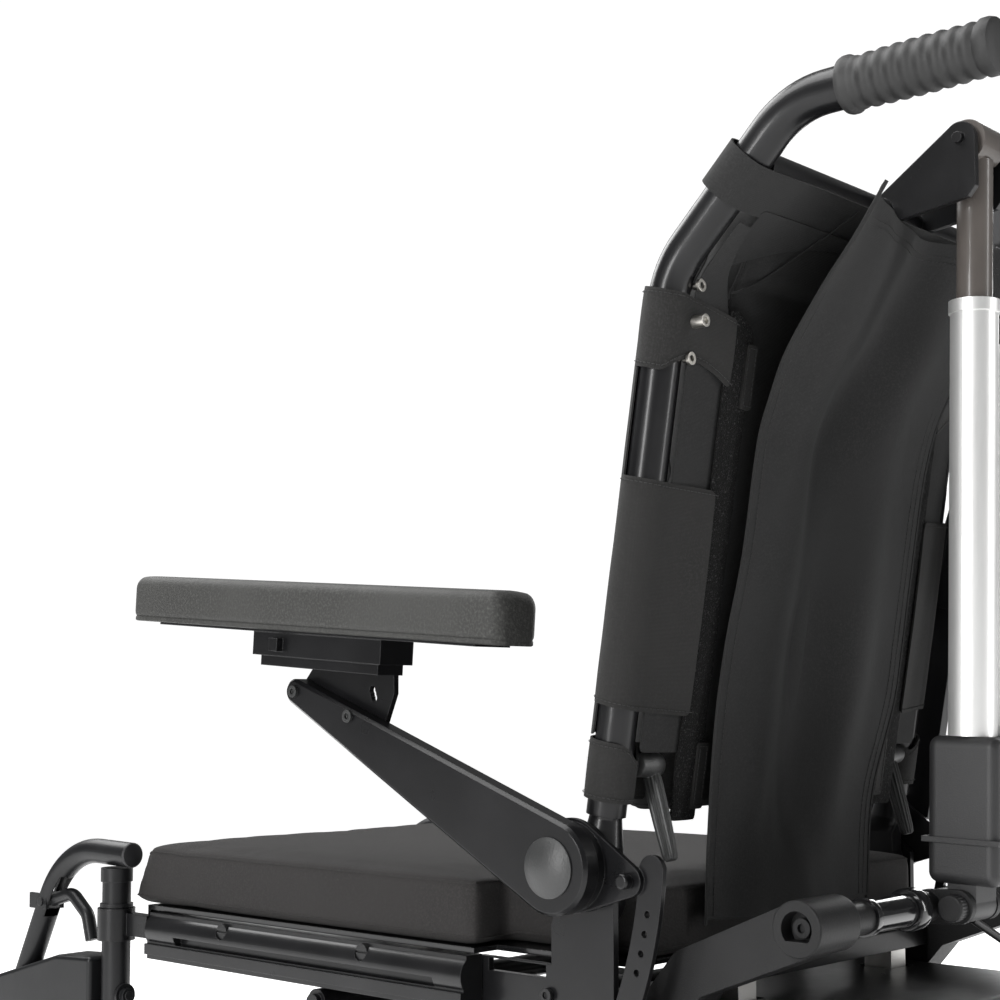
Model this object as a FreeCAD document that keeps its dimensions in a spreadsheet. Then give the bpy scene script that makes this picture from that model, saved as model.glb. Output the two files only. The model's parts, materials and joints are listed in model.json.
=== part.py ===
import FreeCAD, Part
import math
import os
import re
import Sketcher

# Power wheelchair with a powered recline: a rear-wheel-drive base, a seat on black extruded rails,
# flip-up armrests, swing-away legrests and a tension-adjustable back on two bent posts.
# Millimetres. The design datum has Y = 0 on the back posts near their foot, -Y is the front, +X is
# the user's left and Z = 0 is the floor; "origin_y" then centres the chair over the origin.

SIZES = {
    # whole chair
    "origin_y": 302.5, "floor_gap": 60,
    # seat
    "seat_top": 520, "seat_half": 220, "seat_front": -507, "seat_back": 31, "seat_thick": 51.5,
    "notch_half": 193, "notch_front": -107, "pan_half": 214, "pan_top": 468, "pan_thick": 4,
    # seat rails
    "rail_inner": 205, "rail_outer": 228, "rail_front": -489, "rail_rear": -110,
    "rail_low": 424, "rail_high": 463, "slot_z": 442, "slot_tall": 7, "slot_deep": 6,
    "slot_front": -449, "slot_rear": -139, "rail_screw_z": 456, "rail_screw_front": -386,
    "rail_screw_rear": -217, "bar_radius": 10, "bar_z": 413, "bar_front_y": -266, "bar_rear_y": -130,
    # back posts and hinge
    "post_x": 194, "post_radius": 14, "post_wall": 2, "post_foot_y": -2.6, "post_foot_z": 568,
    "post_bend_y": 57, "post_bend_z": 941, "post_top_y": 156, "post_top_z": 1036, "post_bend_radius": 62,
    "grip_front": 196, "grip_rear": 300, "grip_radius": 17,
    "hinge_y": -15, "hinge_z": 510, "hinge_radius": 21, "hinge_pin_radius": 6, "hinge_play": 0.05,
    "hinge_inner": 183, "hinge_outer": 198, "cross_z": 1003, "cross_radius": 12,
    # back upholstery
    "back_half": 150, "back_low": 560, "back_high": 1010, "back_front": 33, "back_rear": 20,
    "flap_half": 120, "flap_low": 540, "flap_high": 968, "flap_offset": 40, "flap_thick": 4,
    "strap_gap": 0.4, "strap_thick": 2.2, "strap_one_low": 877, "strap_one_high": 928,
    "strap_two_low": 645, "strap_two_high": 799, "strap_three_low": 572, "strap_three_high": 590,
    "clamp_y": 12, "clamp_z": 602, "clamp_inner": 154, "clamp_outer": 179.5, "clamp_stud_radius": 4,
    # armrests
    "arm_pivot_y": -19.5, "arm_pivot_z": 533, "arm_big_radius": 33, "arm_tip_y": -286, "arm_tip_z": 654,
    "arm_tip_radius": 10, "beam_inner": 222, "beam_outer": 236, "arm_pin_radius": 8, "arm_raised": -80,
    "cap_radius": 21, "cap_tall": 7, "pad_inner": 211.5, "pad_outer": 258, "pad_front": -476,
    "pad_rear": -54, "pad_low": 687, "pad_thick": 37, "pad_tilt": 4.1, "hub_inner": 213, "ear_inner": 209,
    "ear_y": 31, "ear_z": 526, "ear_radius": 11, "height_top_y": 48, "height_top_z": 534,
    "height_low_y": 10, "height_low_z": 405, "height_half": 10,
    "side_inner": 199, "side_outer": 204.5, "side_low": 398, "side_front": -113, "side_rear": 12,
    # rear cast arms and lower actuator mounting
    "boss_y": 149, "boss_z": 502, "boss_radius": 18.5, "boss_inner": 142, "boss_outer": 190,
    "elbow_y": 56, "elbow_z": 463, "elbow_radius": 17, "arm_foot_y": 18, "arm_foot_z": 418,
    "cast_inner": 152, "carrier_low": 449, "cast_outer": 180, "cross_tube_radius": 11,
    "drive_pivot_y": 172, "drive_pivot_z": 503, "drive_top_y": 184, "drive_top_z": 1046,
    "outer_tube_radius": 17, "outer_tube_top": 430, "rod_radius": 12.7, "motor_offset": 40, "eye_slack": 9.8,
    # legrests
    "hanger_x": 225, "hanger_y": -534.5, "hanger_post_radius": 12.5, "hanger_post_low": 352,
    "hanger_post_high": 497, "hanger_tube_radius": 11, "clamp_low": 436, "clamp_high": 464,
    "clamp_radius": 16.5, "foot_pivot_x": 218, "foot_pivot_z": 132, "foot_front": -905,
    "foot_rear": -752, "foot_inner": 22, "foot_outer": 208, "foot_low": 118, "foot_thick": 9,
    "lever_y": -638, "lever_z": 462,
    # base
    "axle_y": 45, "tyre_radius": 170, "tyre_inner": 250, "tyre_outer": 310, "rim_radius": 118,
    "axle_radius": 10, "caster_x": 236, "caster_y": -424, "caster_trail": 60, "caster_radius": 100,
    "caster_half": 22, "stem_radius": 12, "stem_play": 0.05, "beam_low": 236, "tube_wide": 30,
    "battery_long": 190, "battery_wide": 160, "battery_tall": 165, "battery_front": -242,
    "battery_low": 92, "stanchion_x": 105, "stanchion_rear_y": 41, "upright_y": 107,
    "top_rail_high": 403, "cover_half": 152, "cover_front": -58, "cover_rear": 188,
    "cover_low": 224, "cover_top": 436,
    "tip_wheel_radius": 27, "tip_wheel_y": 262, "tip_wheel_z": 47, "tip_x": 78,
    # joystick
    "stick_x": 246, "stick_front": -586, "stick_rear": -486, "stick_low": 712, "stick_tall": 42,
    "stick_half": 32,
}

doc = FreeCAD.newDocument("power_wheelchair")
sheet = doc.addObject("Spreadsheet::Sheet", "Sizes")
for row, (word, number) in enumerate(SIZES.items(), start=1):
    sheet.set(f"A{row}", word)
    sheet.set(f"B{row}", str(number))
    sheet.setAlias(f"B{row}", word)
doc.recompute()

LEFT, RIGHT = 1, -1
SIDES = {"left": LEFT, "right": RIGHT}
# How a sketch numbers the points of a line or an arc.
START_POINT, END_POINT, CENTRE_POINT = 1, 2, 3
parts = []


def size(word):
    """The value of one cell of the sheet."""
    return float(sheet.get(word))


def linked(text):
    """An expression in which each word of the sheet refers to its cell."""
    return re.sub(r"[a-z_]+", lambda m: "Sizes." + m[0] if m[0] in SIZES else m[0], str(text))


def bind(thing, prop, text):
    thing.setExpression(prop, linked(text))


def mirrored(span, side):
    """The X span of a piece on the left, or its mirror image on the right."""
    low, high = span
    return (low, high) if side == LEFT else (f"-({high})", f"-({low})")


def block(x, y, z, side=LEFT):
    """A box given by its spans."""
    solid = doc.addObject("Part::Box", "block")
    for prop, axis, (low, high) in zip(("Length", "Width", "Height"), "xyz", (mirrored(x, side), y, z)):
        bind(solid, prop, f"({high}) - ({low})")
        bind(solid, "Placement.Base." + axis, low)
    return solid


TURNS = {"x": FreeCAD.Rotation(FreeCAD.Vector(0, 1, 0), 90),
         "y": FreeCAD.Rotation(FreeCAD.Vector(1, 0, 0), -90),
         "z": FreeCAD.Rotation()}


def rod(axis, span, centre, radius, side=LEFT, kind="Part::Cylinder"):
    """A cylinder along an axis, between the two ends of span and through centre."""
    solid = doc.addObject(kind, "rod")
    solid.Placement.Rotation = TURNS[axis]
    x, y, z = centre
    if axis == "x":
        span = mirrored(span, side)
    else:
        x = x if side == LEFT else f"-({x})"
    low, high = span
    start = {"x": (low, y, z), "y": (x, low, z), "z": (x, y, low)}[axis]
    for letter, text in zip("xyz", start):
        bind(solid, "Placement.Base." + letter, text)
    bind(solid, "Radius", radius)
    bind(solid, "Height", f"({high}) - ({low})")
    return solid


def fused(*pieces):
    solid = doc.addObject("Part::MultiFuse", "fused")
    solid.Shapes = list(pieces)
    solid.Refine = True
    return solid


def cut(base, *tools):
    solid = doc.addObject("Part::Cut", "cut")
    solid.Base = base
    solid.Tool = tools[0] if len(tools) == 1 else fused(*tools)
    return solid


def common(first, second):
    solid = doc.addObject("Part::Common", "common")
    solid.Base, solid.Tool = first, second
    return solid


def rounded(base, radius, wanted=lambda edge: True):
    """Fillets on the edges of base that wanted picks."""
    doc.recompute()
    solid = doc.addObject("Part::Fillet", "rounded")
    solid.Base = base
    solid.Edges = [(i, radius, radius) for i, edge in enumerate(base.Shape.Edges, start=1) if wanted(edge)]
    return solid


def shaped(shape, name="shaped"):
    """A solid that the primitives and sketches don't reach, made from a shape."""
    solid = doc.addObject("Part::Feature", name)
    solid.Shape = shape
    return solid


def vec(x, y, z):
    return FreeCAD.Vector(x, y, z)


def bent_line(points, bend):
    """A wire through points whose corners are arcs of radius bend."""
    edges = []
    start = points[0]
    for before, corner, after in zip(points, points[1:], points[2:]):
        to_start = (before - corner).normalize()
        to_end = (after - corner).normalize()
        half = to_start.getAngle(to_end) / 2
        reach = bend / math.tan(half)
        middle = (to_start + to_end).normalize() * (bend / math.sin(half))
        first, last = corner + to_start * reach, corner + to_end * reach
        arc_middle = corner + middle - (middle * (bend / middle.Length))
        edges += [Part.makeLine(start, first), Part.Arc(first, arc_middle, last).toShape()]
        start = last
    edges.append(Part.makeLine(start, points[-1]))
    return Part.Wire(edges)


def swept(points, bend, radius):
    """A round bar along a bent line."""
    path = bent_line(points, bend)
    circle = Part.Wire(Part.makeCircle(radius, points[0], points[1] - points[0]))
    return path.makePipeShell([circle], True, True)


def pipe(points, bend, radius, wall):
    """A bent tube with open ends."""
    return swept(points, bend, radius).cut(swept(points, bend, radius - wall))


def sketch_on(body, plane):
    sketch = body.newObject("Sketcher::SketchObject", "sketch")
    support = next(f for f in body.Origin.OriginFeatures if f.Role == plane)
    sketch.AttachmentSupport = [(support, "")]
    sketch.MapMode = "FlatFace"
    return sketch


def pin_point(sketch, item, point, across, up):
    """Holds one point of a sketch at two sheet expressions."""
    for kind, text in (("DistanceX", across), ("DistanceY", up)):
        index = sketch.addConstraint(Sketcher.Constraint(kind, -1, 1, item, point, 1.0))
        bind(sketch, f"Constraints[{index}]", text)


def link(big, small, span, side=LEFT, bevel=0.0):
    """A flat bar, round at both ends and tapering between them; big and small are (y, z, radius)."""
    body = doc.addObject("PartDesign::Body", "link")
    sketch = sketch_on(body, "YZ_Plane")
    (ya, za, ra), (yb, zb, rb) = [[size(word) for word in end] for end in (big, small)]
    along = math.atan2(zb - za, yb - ya)
    lean = math.acos((ra - rb) / math.hypot(yb - ya, zb - za))
    upper, lower = along + lean, along - lean
    touch = {}
    for name, y, z, r in (("a", ya, za, ra), ("b", yb, zb, rb)):
        for label, turn in (("upper", upper), ("lower", lower)):
            touch[name + label] = vec(y + r * math.cos(turn), z + r * math.sin(turn), 0)
    circle_a = Part.Circle(vec(ya, za, 0), vec(0, 0, 1), ra)
    circle_b = Part.Circle(vec(yb, zb, 0), vec(0, 0, 1), rb)
    sketch.addGeometry(Part.ArcOfCircle(circle_a, upper, lower + 2 * math.pi))
    sketch.addGeometry(Part.LineSegment(touch["alower"], touch["blower"]))
    sketch.addGeometry(Part.ArcOfCircle(circle_b, lower, upper))
    sketch.addGeometry(Part.LineSegment(touch["bupper"], touch["aupper"]))
    for item in range(4):
        sketch.addConstraint(Sketcher.Constraint("Tangent", item, END_POINT, (item + 1) % 4, START_POINT))
    for item, (across, up, radius) in ((0, big), (2, small)):
        pin_point(sketch, item, CENTRE_POINT, across, up)
        index = sketch.addConstraint(Sketcher.Constraint("Radius", item, size(radius)))
        bind(sketch, f"Constraints[{index}]", radius)
    low, high = mirrored(span, side)
    pad = body.newObject("PartDesign::Pad", "pad")
    pad.Profile = sketch
    bind(pad, "Length", f"({high}) - ({low})")
    body.Tip = pad
    doc.recompute()
    if bevel:
        outward = vec(side, 0, 0)
        face = next(i for i, f in enumerate(pad.Shape.Faces, start=1)
                    if f.Surface.TypeId == "Part::GeomPlane" and f.normalAt(0, 0).dot(outward) > 0.9)
        edge_break = body.newObject("PartDesign::Chamfer", "bevel")
        edge_break.Base = (pad, [f"Face{face}"])
        edge_break.Size = bevel
        body.Tip = edge_break
    bind(body, "Placement.Base.x", low)
    return body


def plate(outline, span, plane="YZ_Plane", side=LEFT):
    """A plate with straight edges; outline is a list of sketch points as pairs of sheet expressions."""
    body = doc.addObject("PartDesign::Body", "plate")
    sketch = sketch_on(body, plane)
    count = len(outline)
    turn = 2 * math.pi / count
    corners = [vec(math.cos(turn * item), math.sin(turn * item), 0) for item in range(count)]
    for first, second in zip(corners, corners[1:] + corners[:1]):
        sketch.addGeometry(Part.LineSegment(first, second))
    for item in range(count):
        following = (item + 1) % count
        sketch.addConstraint(Sketcher.Constraint("Coincident", item, END_POINT, following, START_POINT))
        pin_point(sketch, item, START_POINT, *outline[item])
    low, high = mirrored(span, side)
    pad = body.newObject("PartDesign::Pad", "pad")
    pad.Profile = sketch
    bind(pad, "Length", f"({high}) - ({low})")
    body.Tip = pad
    axis = {"YZ_Plane": "x", "XZ_Plane": "y", "XY_Plane": "z"}[plane]
    if plane == "XZ_Plane":
        pad.Reversed = True
    bind(body, "Placement.Base." + axis, low)
    return body


def node(label, *pieces, raised=False):
    """One named sub-part, put in the frame that is centred over the origin."""
    group = doc.addObject("Part::Compound", label)
    group.Links = list(pieces)
    group.Label = label
    if raised:
        group.Placement.Rotation = FreeCAD.Rotation(vec(1, 0, 0), size("arm_raised"))
        bind(group, "Placement.Rotation.Angle", "arm_raised")
        turn_y = "arm_pivot_y * cos(arm_raised) - arm_pivot_z * sin(arm_raised)"
        turn_z = "arm_pivot_y * sin(arm_raised) + arm_pivot_z * cos(arm_raised)"
        bind(group, "Placement.Base.y", f"origin_y + arm_pivot_y - ({turn_y})")
        bind(group, "Placement.Base.z", f"arm_pivot_z - ({turn_z})")
    else:
        bind(group, "Placement.Base.y", "origin_y")
    parts.append(group)
    return group


def screw(axis, tip, head, centre, radius=3, side=LEFT, head_radius=5, head_tall=3.5):
    """A cap screw from its tip to the underside of its head, with a socket in the head."""
    outward = 1 if head > tip else -1
    shank = rod(axis, sorted((tip, head)), centre, radius, side)
    top = rod(axis, sorted((head, head + outward * head_tall)), centre, head_radius, side)
    socket_ends = sorted((head + outward * (head_tall - 2), head + outward * (head_tall + 1)))
    socket = rod(axis, socket_ends, centre, head_radius * 0.5, side)
    return cut(fused(shank, top), socket)


def post_y(height):
    """Y of a back post's axis at a height on its straight lower part."""
    slope = (size("post_bend_y") - size("post_foot_y")) / (size("post_bend_z") - size("post_foot_z"))
    return size("post_foot_y") + slope * (height - size("post_foot_z"))


# ---------------------------------------------------------------- base
def build_base():
    pieces = []
    for side in SIDES.values():
        pieces.append(block(("30", "30 + tube_wide"), ("caster_y - tube_wide / 2", "176"),
                            ("floor_gap", "floor_gap + tube_wide"), side))
        pieces.append(block(("30", "30 + tube_wide"),
                            ("caster_y - tube_wide / 2", "caster_y + tube_wide / 2"),
                            ("floor_gap", "beam_low + tube_wide"), side))
        for front in ("battery_front - 34", "upright_y - 14"):
            pieces.append(block(("stanchion_x - 14", "stanchion_x + 14"), (front, f"{front} + 28"),
                                ("floor_gap + tube_wide", "top_rail_high"), side))
        pieces.append(block(("stanchion_x - 14", "stanchion_x + 14"),
                            ("battery_front - 34", "upright_y + 14"),
                            ("top_rail_high - 28", "top_rail_high"), side))
        pieces.append(block(("tip_x - 7", "tip_x + 5"), ("upright_y - 8", "tip_wheel_y + 4"),
                            ("floor_gap - 22", "floor_gap + 8"), side))
    pieces.append(block(("-caster_x + 10", "caster_x - 10"),
                        ("caster_y - tube_wide / 2", "caster_y + tube_wide / 2"),
                        ("beam_low", "beam_low + tube_wide")))
    for front, reach in (("battery_front - 34", "stanchion_x + 14"), ("axle_y - 14", "190"),
                         ("upright_y - 14", "stanchion_x + 14")):
        pieces.append(block((f"-({reach})", reach), (front, f"{front} + 28"),
                            ("floor_gap", "floor_gap + tube_wide")))
    frame = fused(*pieces)
    for side in SIDES.values():
        housing = rod("z", ("beam_low - 4", "beam_low + 46"), ("caster_x", "caster_y", "0"), "22", side)
        frame = fused(frame, housing)
        bore = rod("z", ("beam_low - 5", "beam_low + 38"), ("caster_x", "caster_y", "0"),
                   "stem_radius + stem_play", side)
        tip_bore = rod("x", ("tip_x - 8", "tip_x + 6"), ("0", "tip_wheel_y - 8", "tip_wheel_z"),
                       "5 + stem_play", side)
        frame = cut(frame, bore, tip_bore)
    node("base_frame", frame)


def build_batteries():
    cells = []
    for side in SIDES.values():
        case = block(("4", "4 + battery_long"), ("battery_front", "battery_front + battery_wide"),
                     ("battery_low", "battery_low + battery_tall"), side)
        posts = [rod("z", ("battery_low + battery_tall", "battery_low + battery_tall + 9"),
                     (x, "battery_front + 22", "0"), "7", side) for x in ("32", "166")]
        cells.append(fused(rounded(case, 4), *posts))
    node("batteries", *cells)

    outside = block(("-201", "201"), ("battery_front - 3.5", "battery_front + battery_wide + 3.5"),
                    ("battery_low + 2", "310"))
    inside = block(("-198", "198"), ("battery_front - 0.5", "battery_front + battery_wide + 0.5"),
                   ("battery_low", "306"))
    node("battery_cover", cut(rounded(outside, 12, lambda e: e.BoundBox.ZMin > 150),
                              rounded(inside, 9, lambda e: e.BoundBox.ZMin > 150)))


def build_control():
    case = rounded(block(("-85", "85"), ("-48", "62"), ("236", "300")), 5)
    fins = [block((f"{x}", f"{x + 4}"), ("-44", "58"), ("299", "312")) for x in range(-80, 80, 12)]
    node("control_module", fused(case, *fins))

    outside = block(("-cover_half", "cover_half"), ("cover_front", "cover_rear"), ("cover_low", "cover_top"))
    outside = rounded(outside, 30, lambda e: e.BoundBox.ZLength > 100)
    outside = rounded(outside, 14, lambda e: e.BoundBox.ZMin > 400)
    inside = block(("-cover_half + 3", "cover_half - 3"), ("cover_front + 3", "cover_rear - 3"),
                   ("cover_low - 1", "cover_top - 3"))
    inside = rounded(inside, 27, lambda e: e.BoundBox.ZLength > 100)
    inside = rounded(inside, 11, lambda e: e.BoundBox.ZMin > 400)
    cover = cut(outside, inside)
    for side in SIDES.values():
        cover = cut(cover, block(("stanchion_x - 16", "stanchion_x + 16"),
                                 ("stanchion_rear_y - 16", "stanchion_rear_y + 16"), ("420", "450"), side),
                    block(("stanchion_x - 16", "stanchion_x + 16"),
                          ("cover_front - 5", "cover_front + 10"),
                          ("top_rail_high - 31", "top_rail_high + 3"), side))
    node("rear_cover", cover)


def build_drive():
    motors = []
    for side in SIDES.values():
        centre = ("0", "axle_y", "tyre_radius")
        gearbox = rounded(rod("x", ("196", "240"), centre, "56", side), 5)
        motor = rounded(rod("x", ("14", "196"), centre, "43", side), 3)
        hub = rod("x", ("240", "tyre_inner + 8"), centre, "24", side)
        shaft = rod("x", ("tyre_inner + 8", "tyre_outer - 14"), centre, "axle_radius", side)
        foot = block(("130", "190"), ("axle_y - 30", "axle_y + 30"),
                     ("floor_gap + tube_wide + 0.5", "tyre_radius - 30"), side)
        motors.append(fused(gearbox, motor, hub, shaft, foot))
    node("drive_motors", *motors)

    for name, side in SIDES.items():
        centre = ("0", "axle_y", "tyre_radius")
        bore = rod("x", ("tyre_inner - 1", "tyre_outer + 1"), centre, "rim_radius", side)
        tread = rounded(rod("x", ("tyre_inner", "tyre_outer"), centre, "tyre_radius", side), 16)
        node("drive_tyre_" + name, cut(tread, bore))
        disc = rod("x", ("tyre_inner + 9", "tyre_outer - 16"), centre, "rim_radius - 22", side)
        ring = cut(rod("x", ("tyre_inner + 4", "tyre_outer - 4"), centre, "rim_radius", side),
                   rod("x", ("tyre_inner + 3", "tyre_outer - 3"), centre, "rim_radius - 22.5", side))
        windows = []
        spokes = 5
        for turn in range(spokes):
            angle = math.radians(turn * 360 / spokes + 90)
            where = ("0", f"axle_y + {62 * math.cos(angle):.3f}", f"tyre_radius + {62 * math.sin(angle):.3f}")
            windows.append(rod("x", ("tyre_inner", "tyre_outer"), where, "24", side))
        shaft_bore = rod("x", ("tyre_inner", "tyre_outer"), centre, "axle_radius + 0.05", side)
        well = rod("x", ("tyre_inner + 1", "tyre_inner + 9.5"), centre, "26", side)
        seat_disc = rod("x", ("tyre_inner + 9", "tyre_outer - 16"), centre, "rim_radius - 21", side)
        nut_well = rod("x", ("tyre_outer - 22", "tyre_outer"), centre, "22", side)
        node("drive_rim_" + name, cut(fused(ring, seat_disc, disc), *windows, shaft_bore, well, nut_well))


def build_casters():
    for name, side in SIDES.items():
        wheel_y, wheel_z = "caster_y + caster_trail", "caster_radius"
        crown = block(("caster_x - caster_half - 12", "caster_x + caster_half + 12"),
                      ("caster_y - 22", "caster_y + caster_trail - 18"), ("210", "224"), side)
        stem = rod("z", ("224", "beam_low + 37"), ("caster_x", "caster_y", "0"), "stem_radius", side)
        collar = rod("z", ("223", "beam_low - 5"), ("caster_x", "caster_y", "0"), "18", side)
        legs = []
        for inner in ("caster_x - caster_half - 12", "caster_x + caster_half + 6"):
            outline = [("caster_y - 18", "224"), ("caster_y + caster_trail - 18", "224"),
                       ("caster_y + caster_trail + 16", "caster_radius + 6"),
                       ("caster_y + caster_trail + 12", "caster_radius - 16"),
                       ("caster_y + caster_trail - 12", "caster_radius - 16")]
            legs.append(plate(outline, (inner, f"{inner} + 6"), side=side))
        axle = rod("x", ("caster_x - caster_half - 14", "caster_x + caster_half + 14"),
                   ("0", wheel_y, wheel_z), "6", side)
        node("caster_fork_" + name, fused(crown, stem, collar, *legs, axle))
        tyre = rounded(rod("x", ("caster_x - caster_half", "caster_x + caster_half"),
                           ("0", wheel_y, wheel_z), "caster_radius", side), 12)
        hole = rod("x", ("caster_x - 30", "caster_x + 30"), ("0", wheel_y, wheel_z), "66", side)
        rim = cut(rod("x", ("caster_x - 15", "caster_x + 15"), ("0", wheel_y, wheel_z), "66", side),
                  rod("x", ("caster_x - 30", "caster_x - 6"), ("0", wheel_y, wheel_z), "56", side),
                  rod("x", ("caster_x + 6", "caster_x + 30"), ("0", wheel_y, wheel_z), "56", side))
        hub = rod("x", ("caster_x - 20", "caster_x + 20"), ("0", wheel_y, wheel_z), "16", side)
        bore = rod("x", ("caster_x - 30", "caster_x + 30"), ("0", wheel_y, wheel_z), "6.05", side)
        node("caster_wheel_" + name, cut(tyre, hole), cut(fused(rim, hub), bore))
        tip_centre = ("0", "tip_wheel_y - 8", "tip_wheel_z")
        roller = rounded(rod("x", ("tip_x + 6", "tip_x + 26"), tip_centre, "tip_wheel_radius", side), 4)
        node("anti_tip_wheel_" + name,
             fused(roller, rod("x", ("tip_x - 10", "tip_x + 28"), tip_centre, "5", side),
                   rod("x", ("tip_x - 10", "tip_x - 7.5"), tip_centre, "8", side)))


# ---------------------------------------------------------------- seat
def build_seat():
    for name, side in SIDES.items():
        low, high = (("rail_inner", "rail_outer - 6") if side == LEFT
                     else ("-rail_outer + 6", "-rail_inner"))
        core = block((low, high), ("rail_front", "rail_rear"), ("rail_low", "rail_high"))
        crown = rod("y", ("rail_front", "rail_rear"), ("rail_outer - 15", "0", "rail_high - 15"), "15", side)
        skirt = block(("rail_outer - 9", "rail_outer"), ("rail_front", "rail_rear"),
                      ("rail_low + 4", "slot_z - slot_tall / 2 - 1.5"), side)
        web = block(("rail_inner", "rail_outer - 3"), ("rail_front", "rail_rear"),
                    ("rail_low", "rail_high - 15"), side)
        profile = fused(core, common(crown, block(("rail_inner", "rail_outer"), ("rail_front", "rail_rear"),
                                                  ("rail_low", "rail_high"), side)), web, skirt)
        slot = block(("rail_outer - 3 - slot_deep", "rail_outer + 1"), ("slot_front", "slot_rear"),
                     ("slot_z - slot_tall / 2", "slot_z + slot_tall / 2"), side)
        undercut = block(("rail_outer - 3 - slot_deep", "rail_outer - 7"), ("slot_front", "slot_rear"),
                         ("slot_z - slot_tall", "slot_z + slot_tall"), side)
        holes = [rod("x", ("rail_outer - 7", "rail_outer + 5"), ("0", y, "rail_screw_z"), "6.5", side)
                 for y in ("rail_screw_front", "rail_screw_rear")]
        node("seat_rail_" + name, cut(profile, slot, undercut, *holes))

    pan = block(("-pan_half", "pan_half"), ("seat_front + 4", "notch_front - 3"),
                ("pan_top - pan_thick", "pan_top"))
    tail = block(("-notch_half + 4", "notch_half - 4"), ("notch_front - 20", "seat_back - 12"),
                 ("pan_top - pan_thick", "pan_top"))
    lip = block(("-pan_half", "pan_half"), ("seat_front + 4", "seat_front + 7"), ("pan_top - 14", "pan_top"))
    node("seat_pan", fused(pan, tail, lip))

    main = block(("-seat_half", "seat_half"), ("seat_front", "notch_front"),
                 ("seat_top - seat_thick", "seat_top"))
    rear = block(("-notch_half + 12", "notch_half - 12"), ("notch_front - 40", "seat_back"),
                 ("seat_top - seat_thick", "seat_top"))
    node("seat_cushion", fused(main, rear))

    bars = [rod("x", ("-rail_outer + 1", "rail_outer - 1"), ("0", y, "bar_z"), "bar_radius")
            for y in ("bar_front_y", "bar_rear_y")]
    plugs = [rod("x", ("rail_outer - 1", "rail_outer + 4"), ("0", "bar_front_y", "bar_z"), "6.5", side)
             for side in SIDES.values()]
    carrier = block(("-cast_inner", "cast_inner"), ("stanchion_rear_y - 12", "stanchion_rear_y + 12"),
                    ("carrier_low", "pan_top - pan_thick"))
    node("seat_crossbars", fused(bars[0], *plugs), bars[1], carrier)

    blocks = []
    for side in SIDES.values():
        blocks.append(block(("stanchion_x - 11", "stanchion_x + 11"),
                            ("stanchion_rear_y - 12", "stanchion_rear_y + 12"),
                            ("top_rail_high", "carrier_low"), side))
        blocks.append(block(("stanchion_x - 11", "stanchion_x + 11"),
                            ("bar_front_y - 9", "bar_front_y + 9"),
                            ("bar_z + bar_radius", "pan_top - pan_thick"), side))
    node("seat_stanchions", *blocks)

    plates = []
    for side in SIDES.values():
        outline = [("side_front", "side_low"), ("side_rear", "side_low"), ("side_rear", "hinge_z + 8"),
                   ("hinge_y + 10", "hinge_z + 22"), ("hinge_y - 18", "hinge_z + 16"),
                   ("side_front + 69", "pan_top + 22"), ("side_front + 69", "pan_top - 6"),
                   ("side_front", "pan_top - 6")]
        flank = plate(outline, ("side_inner", "side_outer"), side=side)
        slot = block(("side_inner - 1", "side_outer + 1"), ("side_front + 9", "side_front + 64"),
                     ("452", "461"), side)
        pin = rod("x", ("hinge_inner - 2", "side_outer"), ("0", "hinge_y", "hinge_z"),
                  "hinge_pin_radius", side)
        plates.append(fused(cut(flank, slot), pin))
    node("side_plates", *plates)


def build_rear_arms():
    castings = []
    boss = ("boss_y", "boss_z", "boss_radius")
    elbow = ("elbow_y", "elbow_z", "elbow_radius")
    foot = ("arm_foot_y", "arm_foot_z", "elbow_radius")
    for side in SIDES.values():
        upper = link(boss, elbow, ("cast_inner", "cast_outer"), side)
        lower = link(elbow, foot, ("cast_inner", "cast_outer"), side)
        barrel = rod("x", ("boss_inner", "boss_outer"), ("0", "boss_y", "boss_z"), "boss_radius", side)
        casting = rounded(fused(upper, lower, barrel), 1.2,
                          lambda e, s=side: abs(e.BoundBox.XMin * s - size("boss_outer")) < 0.01
                          and abs(e.BoundBox.XMax * s - size("boss_outer")) < 0.01)
        recess = cut(rod("x", ("boss_outer - 12", "boss_outer + 1"), ("0", "boss_y", "boss_z"), "11.5", side),
                     block(("boss_outer - 13", "boss_outer + 2"), ("boss_y - 20", "boss_y + 20"),
                           ("boss_z - 20", "boss_z - 8"), side))
        socket = rod("x", ("boss_inner - 1", "boss_inner + 26"), ("0", "boss_y", "boss_z"),
                     "cross_tube_radius", side)
        bolt = cut(rod("x", ("boss_outer - 12", "boss_outer - 6"), ("0", "boss_y", "boss_z"), "6.5", side),
                   rod("x", ("boss_outer - 9", "boss_outer - 5"), ("0", "boss_y", "boss_z"), "3", side))
        spacer = rod("x", ("cast_outer - 1", "side_inner"), ("0", "arm_foot_y - 11.7", "arm_foot_z"),
                     "5", side)
        castings += [fused(cut(casting, recess, socket), spacer), bolt]
    tube = rod("x", ("-boss_inner - 26", "boss_inner + 26"), ("0", "boss_y", "boss_z"), "cross_tube_radius")
    lugs = []
    for side in SIDES.values():
        lug = link(("boss_y", "boss_z", "cross_radius"), ("drive_pivot_y", "drive_pivot_z", "cross_radius"),
                   ("16", "22"), side)
        lugs.append(lug)
    pin = rod("x", ("-26", "22"), ("0", "drive_pivot_y", "drive_pivot_z"), "6")
    knob = rounded(rod("x", ("22", "33"), ("0", "drive_pivot_y", "drive_pivot_z"), "9.5"), 1.2)
    saddle = fused(tube, *lugs, pin, knob)
    node("rear_arms", *castings, saddle)


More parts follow.
